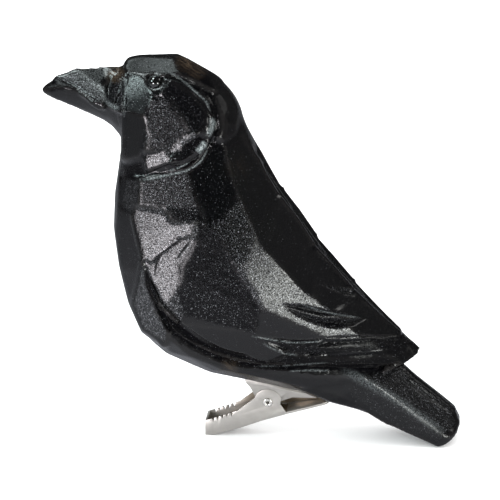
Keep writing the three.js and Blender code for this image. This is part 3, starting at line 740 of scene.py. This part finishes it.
paint = {
    # The lacquer's masks, and the table of flats that each is read from
    "masks": {"smoothLacquer": "smoothFlats", "speckAndSheen": "speckAndSheenFlats",
              "woodStreaks": "streakFlats", "dullLacquer": "dullFlats"},
    "inHollows": {"dullLacquer": 0.7, "speckAndSheen": 0.5},
    "turnedAway": {"smoothLacquer": 0.5, "speckAndSheen": 0.25},
    "softening": (1, 0.25),       # rounds and share
    "wholeBulge": 0.08 * mm,      # an edge that stands out this far is worn all through
    # Thin places in the paint: middle in the photo, radius in pixels, and how brown it shows
    "thin": [
        ((115, 73), 8, 1.0), ((186, 61), 9, 0.7), ((197, 69), 9, 0.4), ((236, 168), 13, 0.05),
        ((230, 366), 8, 0.35),
    ],
    "thinFade": 1.4,              # radii out to which a thin place shows
    # Painted highlights along cut crests and edges: a line in the photo, width in pixels, and how pale it
    # is
    "paintedHighlights": [
        ([(168, 72), (177, 76.5), (188, 85), (200, 96), (210, 105)], 1.6, 0.65),
        ([(182, 81), (196, 92), (205, 101), (211, 112)], 1.3, 0.5),
        ([(211, 117), (212.5, 124), (210, 132), (207, 136)], 5, 0.7),
        ([(206, 142), (202, 147), (197, 153)], 5.5, 1),
        ([(208, 149), (200, 162), (186, 171), (172, 174), (158, 177), (140, 181)], 1.7, 0.8),
        ([(190, 162), (178, 168), (168, 171)], 1.3, 0.7),
        ([(124.4, 74), (124.8, 90), (124.4, 118)], 1.3, 0.3),
        ([(148, 100), (150, 110), (150, 122)], 1.2, 0.3),
        ([(250, 336), (267, 339), (284, 341.6), (300, 342.6), (326, 341)], 1.1, 0.6),
        ([(262, 343), (273, 349), (284, 353), (298, 355.5)], 1.1, 0.45),
        ([(256, 366), (276, 366.5), (300, 364.5), (330, 362.5)], 1.1, 0.3),
        ([(288, 371.5), (309, 370.4), (330, 371)], 1.3, 0.45),
        ([(303, 305), (322, 311), (341, 315), (361, 318)], 1.1, 0.35),
        ([(104, 84), (103, 92), (106, 101), (112, 106), (120, 109)], 3.5, 0.6),
        ([(338, 371), (353, 375), (375, 387), (400, 402), (425, 420), (446, 435)], 8, 0.22),
    ],
    "highlightEnds": 0.15,            # share of a crest's length over which it fades in
    "scuffEdge": 1.5,             # half widths out to which it shows
    "highlightFacing": 0.1,
}


# How strongly each pixel carries a painted highlight
def paintedHighlightShare(pixels):
    share = np.zeros(len(pixels))
    for points, width, value in paint["paintedHighlights"]:
        near, across, along = nearLine(pixels, points, width)
        ends = np.clip(np.minimum(along, 1 - along) / paint["highlightEnds"], 0, 1)
        edge = np.clip(paint["scuffEdge"] - np.abs(across) / (width / 2), 0, 1)
        share[near] = np.maximum(share[near], value * ends * edge)
    return share


def paintMarks(mesh, points):
    pixels, facing = seenShare(points, normalsOf(mesh))[:2]
    marks = {mask: np.zeros(len(points)) for mask in paint["masks"]}
    for name, corners in carving["flats"].items():
        inside = insideBy(pixels, corners) > 0
        for mask, table in paint["masks"].items():
            marks[mask][inside] = carving[table].get(name, 0)
        if name in carving["dullRamps"]:
            start, end, value = carving["dullRamps"][name]
            run = np.array(end) - np.array(start)
            share = np.clip(((pixels[inside] - start) @ run) / (run @ run), 0, 1)
            marks["dullLacquer"][inside] = np.maximum(marks["dullLacquer"][inside], share * value)
    thin = np.zeros(len(points))
    for middle, radius, value in paint["thin"]:
        distance = np.hypot(*(pixels - np.array(middle)).T)
        thin = np.maximum(thin, value * np.clip(paint["thinFade"] - distance / radius, 0, 1))
    for hollow in hollows:
        scooped = insideBy(pixels, hollow["outline"]) > 0
        for mask, value in paint["inHollows"].items():
            marks[mask][scooped] = value
    for stroke in narrowStrokes:
        share = strokeDepth(pixels, stroke) / (stroke["depth"] * mm)
        marks["dullLacquer"] = np.maximum(marks["dullLacquer"], share)
        marks["speckAndSheen"] *= 1 - share
    for mask, value in paint["turnedAway"].items():
        marks[mask][facing < 0] = value
    edges = edgesOf(mesh)
    bulge = ((points - middleOfNeighbours(edges, points)) * normalsOf(mesh)).sum(axis=1)
    softened = smoothPoints(edges, np.stack(list(marks.values()), axis=1), *paint["softening"])
    for mask, values in zip(marks, softened.T):
        markPoints(mesh, mask, values)
    markPoints(mesh, "thinPaint", thin)
    # painted highlights along crests and edges
    markPoints(mesh, "paintedHighlight", paintedHighlightShare(pixels) * (facing > paint["highlightFacing"]))
    markPoints(mesh, "edgeBulge", np.clip(bulge / paint["wholeBulge"], 0, 1))


def carveRaven():
    blank = mergedCopy("raven_body", "ravenBlank")
    tree = BVHTree.FromObject(blank, bpy.context.evaluated_depsgraph_get())
    eyePlace = eyeFrame(tree)
    remesh = blank.modifiers.new("fine", "REMESH")
    remesh.mode = "VOXEL"
    remesh.voxel_size = carving["voxel"]
    mesh = meshOf(blank)
    bpy.data.objects.remove(blank)
    outlines = [hollow["outline"] for hollow in hollows]
    outlines += [carving["flats"][name] for name in carving["fineFlats"]]
    refineRound(mesh, strokes, outlines, carving["fineReach"])
    refineRound(mesh, narrowStrokes, [], carving["narrowReach"])
    points = cutFlats(mesh, tree)
    points = roundParts(mesh, points)
    points = fillEyeBeds(points, *eyePlace[1:])
    edges = edgesOf(mesh)
    points = smoothPoints(edges, points, *carving["flatSoftening"])
    points = cutStrokes(mesh, points)
    points = smoothPoints(edges, points, *carving["strokeSoftening"])
    low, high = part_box("raven_body")
    points = np.clip(points, np.array(low), np.array(high))
    setPoints(mesh, points)
    mesh.shade_smooth()
    paintMarks(mesh, points)
    raven = newPiece("ravenCarving", mesh)
    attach(raven, "raven")
    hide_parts("raven_body")
    return raven, eyePlace


raven, eyePlace = carveRaven()
print("carving has", len(raven.data.polygons), "faces")


# A round piece turned from a profile of (radius, height) points about an axis. A point nearer the
# axis than the pole is on it.
def turned(name, profile, centre, axis, segments, closed=False, pole=1e-9):
    axis = Vector(axis).normalized()
    sideways = axis.orthogonal().normalized()
    other = axis.cross(sideways)
    shape = bmesh.new()
    rings = []
    for radius, height in profile:
        if radius < pole:
            rings.append([shape.verts.new(Vector(centre) + axis * height)])
            continue
        spokes = [sideways * x + other * y for x, y in arcPoints((0, 0), (1, 1), 0, 360, segments)[:-1]]
        rings.append([shape.verts.new(Vector(centre) + spoke * radius + axis * height) for spoke in spokes])
    for lower, upper in zip(rings, rings[1:] + rings[:1] if closed else rings[1:]):
        for i in range(segments):
            j = (i + 1) % segments
            corners = [lower[i % len(lower)], lower[j % len(lower)], upper[j % len(upper)],
                       upper[i % len(upper)]]
            corners = list(dict.fromkeys(corners))
            if len(corners) > 2:
                shape.faces.new(corners)
    bmesh.ops.recalc_face_normals(shape, faces=shape.faces)
    mesh = bpy.data.meshes.new(name)
    endShape(shape, mesh)
    mesh.shade_smooth()
    return newPiece(name, mesh)


print("eyes")


def makeEye(node, side):
    mirror = Vector((1, side, 1))
    centre, outward, surface = (Vector(place) * mirror for place in eyePlace)
    radius = eye["radius"]
    profile = arcPoints((0, 0), (radius, radius), -90, 90, eye["segments"] // 2)
    bead = turned(node + "Bead", profile, centre, outward, eye["segments"])
    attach(bead, "raven")
    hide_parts(node)
    tube = eye["rimTube"]
    ringRadius = math.sqrt(radius ** 2 - eye["sunk"] ** 2) + eye["rimGap"] * tube
    height = (surface - centre).dot(outward) + eye["rimRise"]
    rimProfile = arcPoints((ringRadius, 0), (tube, tube), 0, 360, eye["rimSteps"])[:-1]
    rim = turned(node + "Rim", rimProfile, centre + outward * height, outward, eye["segments"], True)
    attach(rim, "raven")
    return bead, rim


leftBead, leftRim = makeEye("left_eye", 1)
rightBead, rightRim = makeEye("right_eye", -1)

# The clip, with rounded folds and edges, and its rivet and spring
print("clip")
clip = {
    "rowShift": -0.85 * mm,      # from the clip drawing's x to the frame's
    # the cheeks of the upper half end in a round hollow that the toothed half's ears turn in
    "cheekFront": [(-0.75, 13.88), (-0.6, 12.75), (1.6, 10.45)],
    "hollowMiddle": (4.3, 8.3),
    "hollowRadius": 3.24,
    "hollowArc": (138, 20, 24),  # from and to, in degrees, and steps
    "cheekBack": [(7.45, 10.0), (8.1, 10.35), (8.8, 10.9), (16.2, 9.3), (16.4, 10.07), (8, 11.93)],
    "narrowing": (8, 0.141),     # where the halves start to taper, and how fast
    "cheekReach": (2.82, 3.3),   # across, from the middle
    # behind the rivet its far wall comes down to the toothed half's tongue
    "farWall": [(6.2, 11.1), (6.2, 7.6), (8.5, 6.31), (16.4, 8.05), (17.0, 9.1)],
    "farReach": (2.5, 2.78),
    "insideOf": 2.86 * mm,
    "channelShadeFrom": (-5 * mm, -2 * mm),      # along the bird, from least to full painted shade
    "leastChannelShade": 0.15,
    "flatWithin": math.radians(1),
    "edgeRound": 0.07 * mm,
    "edgeSegments": 2,
    "sharperThan": math.radians(24),
    "shadedSharp": math.radians(50),
}


def addPlate(shape, outline, reach):
    taperStart, taper = clip["narrowing"]
    rings = []
    for y in reach:
        ring = []
        for x, z in outline:
            across = y - math.copysign(max(x - taperStart, 0) * taper, y)
            ring.append(shape.verts.new((x * mm + clip["rowShift"], across * mm, z * mm)))
        rings.append(ring)
    faces = [shape.faces.new(ring) for ring in rings]
    for i in range(len(outline)):
        j = (i + 1) % len(outline)
        faces.append(shape.faces.new([rings[0][i], rings[0][j], rings[1][j], rings[1][i]]))
    bmesh.ops.recalc_face_normals(shape, faces=faces)


# The cheeks that close the upper half's sides in front of and over the ears
def addCheeks(mesh):
    radius = clip["hollowRadius"]
    hollow = arcPoints(clip["hollowMiddle"], (radius, radius), *clip["hollowArc"])
    outline = clip["cheekFront"] + hollow + clip["cheekBack"]
    inner, outer = clip["cheekReach"]
    shape = startShape(mesh)
    for side in (-1, 1):
        addPlate(shape, outline, (side * inner, side * outer))
    addPlate(shape, clip["farWall"], clip["farReach"])
    endShape(shape, mesh)


def roundedClip(node, body, cheeks=False):
    half = mergedCopy(node, node + "Sheet")
    if cheeks:
        addCheeks(half.data)
    flatten = half.modifiers.new("joinFlats", "DECIMATE")
    flatten.decimate_type = "DISSOLVE"
    flatten.angle_limit = clip["flatWithin"]
    bevel = half.modifiers.new("roundEdges", "BEVEL")
    bevel.width = clip["edgeRound"]
    bevel.segments = clip["edgeSegments"]
    bevel.limit_method = "ANGLE"
    bevel.angle_limit = clip["sharperThan"]
    mesh = meshOf(half)
    bpy.data.objects.remove(half)
    mesh.shade_smooth()
    piece = newPiece(node + "Sheet", mesh)
    mesh.set_sharp_from_angle(angle=clip["shadedSharp"])
    points = pointsOf(mesh)
    # Painted shade inside the channel: inner faces are marked to darken to brown, more so along the bird
    inward = (np.abs(points[:, 1]) < clip["insideOf"]) & (normalsOf(mesh)[:, 1] * points[:, 1] <= 0)
    clean, brown = clip["channelShadeFrom"]
    share = np.clip((points[:, 0] - clean) / (brown - clean), clip["leastChannelShade"], 1)
    markPoints(mesh, "shadeInsideFold", inward * share)
    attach(piece, body)
    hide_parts(node)
    return piece


clipUpper = roundedClip("clip_upper", "raven", cheeks=True)
clipLower = roundedClip("clip_lower", "toothed_half")

# The rivet is a tube whose ends are rolled over. Heights are up from its middle, or down from its
# end where they are below 0.
rivetForm = {
    "shank": 0.7 * mm,
    "bore": 0.36 * mm,
    "boreEnd": -0.3 * mm,
    "headFoot": -0.28 * mm,
    "headRim": ((1.02 * mm, 0), (1.05 * mm, 0.08 * mm)),     # radius, and height over the foot
    "rollMiddle": (0.71 * mm, -0.17 * mm),
    "rollRadii": (0.34 * mm, 0.17 * mm),
    "rollSteps": 6,
    "segments": 48,
}


def makeRivet():
    form = rivetForm
    low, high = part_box("clip_rivet")
    centre = (Vector(low) + Vector(high)) / 2
    end = (high[1] - low[1]) / 2
    foot = end + form["headFoot"]
    rollRadius, rollHeight = form["rollMiddle"]
    outer = [(form["shank"], 0), (form["shank"], foot)]
    outer += [(radius, foot + height) for radius, height in form["headRim"]]
    outer += arcPoints((rollRadius, end + rollHeight), form["rollRadii"], 0, 180, form["rollSteps"])
    upperHalf = outer + [(form["bore"], end + form["boreEnd"]), (form["bore"], 0)]
    lowerHalf = [(radius, -height) for radius, height in reversed(upperHalf[1:-1])]
    rivet = turned("rivetRing", upperHalf + lowerHalf, centre, (0, 1, 0), form["segments"], True)
    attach(rivet, "raven")
    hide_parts("clip_rivet")
    return rivet, centre


rivet, pivot = makeRivet()

# Materials
print("materials")


# Gives a node's inputs values or other nodes' outputs.
def feed(tree, node, inputs):
    for name, value in inputs.items():
        if isinstance(value, bpy.types.NodeSocket):
            tree.links.new(value, node.inputs[name])
        else:
            node.inputs[name].default_value = value


def addNode(tree, kind, inputs=None, **settings):
    node = tree.nodes.new(kind)
    for name, value in settings.items():
        setattr(node, name, value)
    feed(tree, node, inputs or {})
    return node


def mathNode(tree, operation, *values, clamp=False):
    numbered = dict(enumerate(values))
    return addNode(tree, "ShaderNodeMath", numbered, operation=operation, use_clamp=clamp).outputs[0]


def times(tree, product, *values):
    for value in values:
        product = mathNode(tree, "MULTIPLY", product, value)
    return product


def noise(tree, place, scale, detail, roughness=0.5):
    inputs = {"Vector": place, "Scale": scale, "Detail": detail, "Roughness": roughness}
    return addNode(tree, "ShaderNodeTexNoise", inputs).outputs["Fac"]


# Runs a value from one pair of ends to another.
def spread(tree, value, ends, newEnds=(0, 1)):
    inputs = {"Value": value, "From Min": ends[0], "From Max": ends[1], "To Min": newEnds[0],
              "To Max": newEnds[1]}
    return addNode(tree, "ShaderNodeMapRange", inputs).outputs["Result"]


def mixed(tree, share, first, second):
    inputs = {"Factor": share, "A": first, "B": second}
    return addNode(tree, "ShaderNodeMix", inputs, data_type="RGBA").outputs["Result"]


def bumped(tree, height, distance):
    return addNode(tree, "ShaderNodeBump", {"Height": height, "Distance": distance}).outputs["Normal"]


def mark(tree, name):
    return addNode(tree, "ShaderNodeAttribute", attribute_name=name).outputs["Fac"]


def placeOf(tree):
    return addNode(tree, "ShaderNodeTexCoord").outputs["Object"]


def newMaterial(name):
    material = bpy.data.materials.new(name)
    material.use_nodes = True
    return material, material.node_tree, material.node_tree.nodes["Principled BSDF"]


# A node group whose first input is a place and whose others are numbers
def newGroup(name, inputs, outputs):
    group = bpy.data.node_groups.new(name, "ShaderNodeTree")
    group.interface.new_socket(name="Place", in_out="INPUT", socket_type="NodeSocketVector")
    for kind, names in (("INPUT", inputs), ("OUTPUT", outputs)):
        for socketName in names:
            group.interface.new_socket(name=socketName, in_out=kind, socket_type="NodeSocketFloat")
    return group, group.nodes.new("NodeGroupInput").outputs, group.nodes.new("NodeGroupOutput")


grainLook = {
    "detail": 1.5,
    "roughness": 0.6,
    "speckScale": 2500,
    "speckSize": 0.16,
    "speckShare": 0.66,          # a speck stands where its cell's number is over this
    "dustScale": 5000,
    "paleDust": (0.59, 0.68),
    "paleLoss": 0.17,            # how far the pale dots thin out where a flat is marked with none
    "dullDust": (0.46, 0.36),
    "lineDetail": 3,
    "lineRoughness": 0.65,
}


# Fine grain of sprayed lacquer, with a few larger specks standing out of it
def makeGrainGroup():
    look = grainLook
    group, source, result = newGroup(
        "lacquerGrain", ("Fineness", "Specks", "Dust"), ("Height", "Pale", "Dull"))
    place = source["Place"]
    fine = noise(group, place, source["Fineness"], look["detail"], look["roughness"])
    speck = addNode(group, "ShaderNodeTexVoronoi", {
        "Vector": place, "Scale": look["speckScale"], "Randomness": 1,
    }).outputs
    square = mathNode(group, "POWER", speck["Distance"], 2)
    dome = mathNode(group, "SUBTRACT", look["speckSize"], square, clamp=True)
    chosen = mathNode(group, "GREATER_THAN", speck["Color"], look["speckShare"])
    specks = times(group, dome, chosen, source["Specks"])
    dust = noise(group, place, look["dustScale"], 1)
    # Pale dots, partly overspray and partly painted highlight, thin out on flats marked with few
    thinner = mathNode(group, "MULTIPLY_ADD", source["Dust"], look["paleLoss"], -look["paleLoss"])
    feed(group, result, {
        "Height": mathNode(group, "ADD", fine, specks),
        "Pale": spread(group, mathNode(group, "ADD", dust, thinner), look["paleDust"]),
        "Dull": spread(group, dust, look["dullDust"]),
    })
    return group


# Lines of wood grain, drawn out along the bird from head to tail
def makeStreakGroup():
    group, source, result = newGroup("grainLines", ("Lean", "Fineness", "Stretch"), ("Line",))
    turn = addNode(group, "ShaderNodeVectorRotate", {
        "Vector": source["Place"], "Angle": source["Lean"],
    }, rotation_type="Y_AXIS")
    size = addNode(group, "ShaderNodeCombineXYZ", {"X": 1, "Y": 1, "Z": source["Stretch"]})
    scaled = addNode(group, "ShaderNodeVectorMath", {
        0: turn.outputs["Vector"], 1: size.outputs["Vector"],
    }, operation="MULTIPLY").outputs["Vector"]
    feed(group, result, {"Line": noise(
        group, scaled, source["Fineness"], grainLook["lineDetail"], grainLook["lineRoughness"])})
    return group


grainGroup = makeGrainGroup()
streakGroup = makeStreakGroup()


def streakLines(tree, place, look):
    inputs = {"Place": place, "Lean": look["streakLean"], "Fineness": look["streakFineness"],
              "Stretch": look["streakStretch"]}
    return addNode(tree, "ShaderNodeGroup", inputs, node_tree=streakGroup).outputs["Line"]


lacquerLook = {
    "colour": (0.0014, 0.0014, 0.0017, 1),
    "smoothColour": (0.004, 0.004, 0.0042, 1),
    # pale dots, partly overspray and partly painted highlight
    "paleColour": (0.16, 0.163, 0.175, 1),
    "thinColour": (0.05, 0.036, 0.024, 1),
    "edgeColour": (0.016, 0.015, 0.0145, 1),
    # colour of the painted highlights along crests and edges
    "paintedHighlightColour": (0.2, 0.225, 0.23, 1),
    "roughness": (0.1, 0.15),
    "blotches": (260, 3),        # scale and detail
    "blotchEnds": (0.3, 0.7),
    "gloss": 0.5,
    "dullShare": 0.93,           # how much of the gloss a dull flat loses
    "fineness": 4000,
    "specks": 5,
    "dullness": 0.5,             # roughness of the matt dots
    "grainHeight": 0.045 * mm,
    "rimShare": 0.2,             # how much of that stands on the eyes' rims
    "smoothShare": 0.86,         # how much of the grain a smooth flat loses
    "streakLean": 0.75,
    "streakFineness": 1500,
    "streakStretch": 0.06,
    "streakHeight": 0.06 * mm,
    "thinEnds": (0.36, 0.62),    # wood grain between which a thin place turns brown
    "highlightGrain": (0.44, 0.6),   # lacquer grain between which a painted highlight turns pale
    "highlightLeast": 0.1,
}


# The eyes' rims have no masks, so they are plain.
def lacquerMaterial(name, marked=True):
    look = lacquerLook
    material, tree, shader = newMaterial(name)
    place = placeOf(tree)
    # Pale dots: partly overspray, partly painted highlight on the flats that catch the light
    specks = mark(tree, "speckAndSheen") if marked else 0
    grain = addNode(tree, "ShaderNodeGroup", {
        "Place": place, "Fineness": look["fineness"], "Specks": look["specks"], "Dust": specks,
    }, node_tree=grainGroup).outputs
    blotch = noise(tree, place, *look["blotches"])
    roughness = spread(tree, blotch, look["blotchEnds"], look["roughness"])
    grainHeight = look["grainHeight"] / mm * (1 if marked else look["rimShare"])
    height = times(tree, grain["Height"], grainHeight)
    colour = look["colour"]
    if marked:
        smooth = mark(tree, "smoothLacquer")
        streaks = streakLines(tree, place, look)
        dots = times(tree, grain["Dull"], specks, look["dullness"])
        roughness = mathNode(tree, "ADD", roughness, dots, clamp=True)
        grainLeft = mathNode(tree, "SUBTRACT", 1, times(tree, smooth, look["smoothShare"]))
        lines = times(tree, streaks, look["streakHeight"] / mm, mark(tree, "woodStreaks"))
        height = mathNode(tree, "ADD", times(tree, height, grainLeft), lines)
        glossLeft = mathNode(tree, "SUBTRACT", 1, times(tree, mark(tree, "dullLacquer"), look["dullShare"]))
        feed(tree, shader, {"Specular IOR Level": times(tree, glossLeft, look["gloss"])})
        brown = times(tree, mark(tree, "thinPaint"), spread(tree, streaks, look["thinEnds"]))
        worn = times(tree, mark(tree, "edgeBulge"), blotch)
        # Painted highlights along crests and edges, broken up by the lacquer grain
        glintBreakup = spread(tree, grain["Height"], look["highlightGrain"], (look["highlightLeast"], 1))
        paintedGlint = times(tree, mark(tree, "paintedHighlight"), glintBreakup)
        # The pale dots are partly overspray and partly painted highlight.
        for share, layer in ((smooth, "smoothColour"), (grain["Pale"], "paleColour"),
                             (brown, "thinColour"), (worn, "edgeColour"), (paintedGlint, "paintedHighlightColour")):
            colour = mixed(tree, share, colour, look[layer])
    feed(tree, shader, {"Base Color": colour, "Roughness": roughness, "Normal": bumped(tree, height, mm)})
    return material


beadLook = {
    "colour": (0.002, 0.002, 0.002, 1),
    "ior": 1.6,
    "haze": (1400, 2),           # scale and detail
    "roughness": (0.02, 0.05),
}


def beadMaterial():
    material, tree, shader = newMaterial("blackBead")
    haze = noise(tree, placeOf(tree), *beadLook["haze"])
    feed(tree, shader, {
        "Base Color": beadLook["colour"], "IOR": beadLook["ior"], "Coat Weight": 1,
        "Roughness": spread(tree, haze, (0, 1), beadLook["roughness"]),
    })
    return material


nickelLook = {
    "metallic": 0.82,
    # colour and roughness of each kind
    "sheet": ((0.6, 0.575, 0.535, 1), 0.34),
    "bright": ((0.84, 0.82, 0.78, 1), 0.22),
    "wire": ((0.42, 0.40, 0.37, 1), 0.3),
    "dull": (0.5, 0.475, 0.44, 1),
    # painted shade inside the clip's channel
    "fold": (0.34, 0.28, 0.21, 1),
    "clouds": (420, 4, 0.6),     # scale, detail and roughness of the tarnish
    "cloudEnds": (0.42, 0.72),
    "mostTarnish": 0.7,
    "smoother": 0.06,            # how far the roughness goes below and over its kind's
    "rougher": 0.12,
    "streakLean": 1.8,
    "streakFineness": 1800,
    "streakStretch": 0.05,
    "brushHeight": 0.004 * mm,
}


def nickelMaterial(name, kind):
    look = nickelLook
    colour, roughness = look[kind]
    material, tree, shader = newMaterial(name)
    place = placeOf(tree)
    brush = streakLines(tree, place, look)
    tarnish = spread(tree, noise(tree, place, *look["clouds"]), look["cloudEnds"], (0, look["mostTarnish"]))
    clean = mixed(tree, tarnish, colour, look["dull"])
    ends = (roughness - look["smoother"], roughness + look["rougher"])
    feed(tree, shader, {
        "Metallic": look["metallic"],
        # painted shade darkens the channel's inner faces to brown
        "Base Color": mixed(tree, mark(tree, "shadeInsideFold"), clean, look["fold"]),
        "Roughness": spread(tree, brush, (0, 1), ends),
        "Normal": bumped(tree, brush, look["brushHeight"]),
    })
    return material


def dress(material, *pieces):
    for piece in pieces:
        piece.data.materials.clear()
        piece.data.materials.append(material)


dress(lacquerMaterial("blackLacquer"), raven)
dress(lacquerMaterial("rimLacquer", marked=False), leftRim, rightRim)
dress(beadMaterial(), leftBead, rightBead)
dress(nickelMaterial("sheetNickel", "sheet"), clipUpper, clipLower)
dress(nickelMaterial("rivetNickel", "bright"), rivet)

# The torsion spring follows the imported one: a coil round the rivet and a leg on each half.
print("spring")
spring = {
    "wire": 0.21 * mm,
    "radius": 1.25 * mm,
    "turns": 3,
    "pitch": 0.62 * mm,
    "startAngle": 70,
    "endAngle": 221,
    "upperFoot": (6.2 * mm, 1.95 * mm),     # from the pivot
    "lowerFoot": (4.0 * mm, -1.7 * mm),
    "coilSteps": 72,
    "wireSides": 12,
    "upperEnd": (0, 0, 1.2 * mm),           # from the pivot
    "lowerEnd": (0, 0, -1.3 * mm),
}


# Nodes bend a round wire into a coil about +Y with a straight leg at each end.
def springNodes():
    tree = bpy.data.node_groups.new("springNodes", "GeometryNodeTree")
    kinds = {
        "Wire Radius": "NodeSocketFloat", "Coil Radius": "NodeSocketFloat", "Turns": "NodeSocketFloat",
        "Length": "NodeSocketFloat", "Start Turn": "NodeSocketVector", "Place": "NodeSocketVector",
        "Upper Start": "NodeSocketVector", "Upper Foot": "NodeSocketVector",
        "Lower Start": "NodeSocketVector", "Lower Foot": "NodeSocketVector",
        "Material": "NodeSocketMaterial",
    }
    for name, kind in kinds.items():
        tree.interface.new_socket(name=name, in_out="INPUT", socket_type=kind)
    tree.interface.new_socket(name="Geometry", in_out="OUTPUT", socket_type="NodeSocketGeometry")
    source = tree.nodes.new("NodeGroupInput").outputs
    coil = addNode(tree, "GeometryNodeCurveSpiral", {
        "Resolution": spring["coilSteps"], "Rotations": source["Turns"], "Height": source["Length"],
        "Start Radius": source["Coil Radius"], "End Radius": source["Coil Radius"],
    })
    laid = addNode(tree, "GeometryNodeTransform", {
        "Geometry": coil.outputs["Curve"], "Scale": (1, -1, 1), "Rotation": (-math.pi / 2, 0, 0),
    })
    placed = addNode(tree, "GeometryNodeTransform", {
        "Geometry": laid.outputs["Geometry"], "Rotation": source["Start Turn"],
        "Translation": source["Place"],
    })
    joined = addNode(tree, "GeometryNodeJoinGeometry", {"Geometry": placed.outputs["Geometry"]})
    for side in ("Upper", "Lower"):
        leg = addNode(tree, "GeometryNodeCurvePrimitiveLine", {
            "Start": source[side + " Start"], "End": source[side + " Foot"],
        })
        feed(tree, joined, {"Geometry": leg.outputs["Curve"]})
    section = addNode(tree, "GeometryNodeCurvePrimitiveCircle", {
        "Resolution": spring["wireSides"], "Radius": source["Wire Radius"],
    })
    wire = addNode(tree, "GeometryNodeCurveToMesh", {
        "Curve": joined.outputs["Geometry"], "Profile Curve": section.outputs["Curve"], "Fill Caps": True,
    })
    real = addNode(tree, "GeometryNodeRealizeInstances", {"Geometry": wire.outputs["Mesh"]})
    coloured = addNode(tree, "GeometryNodeSetMaterial", {
        "Geometry": real.outputs["Geometry"], "Material": source["Material"],
    })
    feed(tree, tree.nodes.new("NodeGroupOutput"), {"Geometry": coloured.outputs["Geometry"]})
    return tree


def makeSpring(material):
    first = spring["startAngle"]
    sweep = spring["turns"] * 360 + spring["endAngle"] - first
    length = spring["turns"] * spring["pitch"]
    values = {
        "Wire Radius": spring["wire"], "Coil Radius": spring["radius"], "Turns": sweep / 360,
        "Length": length, "Start Turn": (0, -math.radians(first), 0),
        "Place": pivot - Vector((0, length / 2, 0)), "Material": material,
    }
    for side, foot, degrees, y in (("Upper", spring["upperFoot"], first, -length / 2),
                                   ("Lower", spring["lowerFoot"], first + sweep, length / 2)):
        angle = math.radians(degrees)
        spoke = Vector((math.cos(angle), 0, math.sin(angle))) * spring["radius"]
        values[side + " Start"] = pivot + spoke + Vector((0, y, 0))
        values[side + " Foot"] = pivot + Vector((foot[0], y, foot[1]))
    coil = newPiece("springCoil", bpy.data.meshes.new("springStart"))
    modifier = coil.modifiers.new("bend", "NODES")
    tree = springNodes()
    modifier.node_group = tree
    for item in tree.interface.items_tree:
        if item.in_out == "INPUT":
            value = values[item.name]
            modifier[item.identifier] = tuple(value) if isinstance(value, Vector) else value
    mesh = meshOf(coil)
    coil.modifiers.remove(modifier)
    coil.data = mesh
    mesh.name = "springCoil"
    mesh.shade_smooth()
    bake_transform(coil)
    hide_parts("clip_spring")


makeSpring(nickelMaterial("springSteel", "wire"))

# Floor, world and lights
print("studio")
studio = {
    "floorSize": 3.0,
    "floorColour": (0.96, 0.96, 0.96, 1),
    "floorMirrored": (0.205, 0.205, 0.225, 1),    # near the bird, as gloss sees it
    "floorFarMirrored": (0.085, 0.085, 0.095, 1),
    "floorFade": (0.09, 0.26),                    # metres from the middle
    "floorRoughness": 0.9,
    "worldDiffuse": 1.9,
    "worldGlossy": 0.026,
    # each light: bearing and height in degrees from the bird's middle, distance and size in
    # metres, brightness in watts, and tint
    "lights": {
        "lowLeft": ((-31, 1), 0.3, (0.08, 0.075), 0.39, (1, 0.96, 1)),
        "lowRight": ((41, 2), 0.3, (0.08, 0.07), 0.3, (0.97, 1, 0.96)),
        "overhead": ((-77, 62), 0.6, (0.2, 0.2), 1.6, (0.88, 1, 1)),
        "leftWindow": ((-64, 27), 0.5, (0.14, 0.12), 0.7, (0.82, 1, 1)),
        "behind": ((-155, 52), 0.7, (0.3, 0.2), 0.4, (0.88, 1, 1)),
        "rightBack": ((108, 40), 0.6, (0.25, 0.12), 0.25, (1, 1, 0.97)),
    },
}


def makeFloor():
    shape = bmesh.new()
    bmesh.ops.create_grid(shape, x_segments=1, y_segments=1, size=studio["floorSize"] / 2)
    mesh = bpy.data.meshes.new("floor")
    endShape(shape, mesh)
    floor = newPiece("floor", mesh)
    material, tree, shader = newMaterial("paleFloor")
    far = addNode(tree, "ShaderNodeVectorMath", {0: placeOf(tree)}, operation="LENGTH").outputs["Value"]
    glossy = addNode(tree, "ShaderNodeLightPath").outputs["Is Glossy Ray"]
    fade = spread(tree, far, studio["floorFade"])
    mirrored = mixed(tree, fade, studio["floorMirrored"], studio["floorFarMirrored"])
    feed(tree, shader, {
        "Base Color": mixed(tree, glossy, studio["floorColour"], mirrored),
        "Roughness": studio["floorRoughness"],
    })
    mesh.materials.append(material)


def makeWorld():
    world = bpy.data.worlds.new("studioWorld")
    world.use_nodes = True
    tree = world.node_tree
    glossy = addNode(tree, "ShaderNodeLightPath").outputs["Is Glossy Ray"]
    strength = spread(tree, glossy, (0, 1), (studio["worldDiffuse"], studio["worldGlossy"]))
    feed(tree, tree.nodes["Background"], {"Strength": strength, "Color": (1, 1, 1, 1)})
    world.cycles.sampling_method = "NONE"
    bpy.context.scene.world = world


def areaLight(name, toward, distance, size, power, tint):
    data = bpy.data.lights.new(name, "AREA")
    data.shape = "RECTANGLE"
    data.size, data.size_y = size
    data.energy = power
    data.color = tint
    light = newObject(name, data)
    lookAt(light, (cadLow + cadHigh) / 2, Vector(outwardAt(*toward)), distance)
    light.visible_camera = False


makeFloor()
makeWorld()
for name, light in studio["lights"].items():
    areaLight(name, *light)
bpy.context.scene.view_settings.view_transform = "Standard"
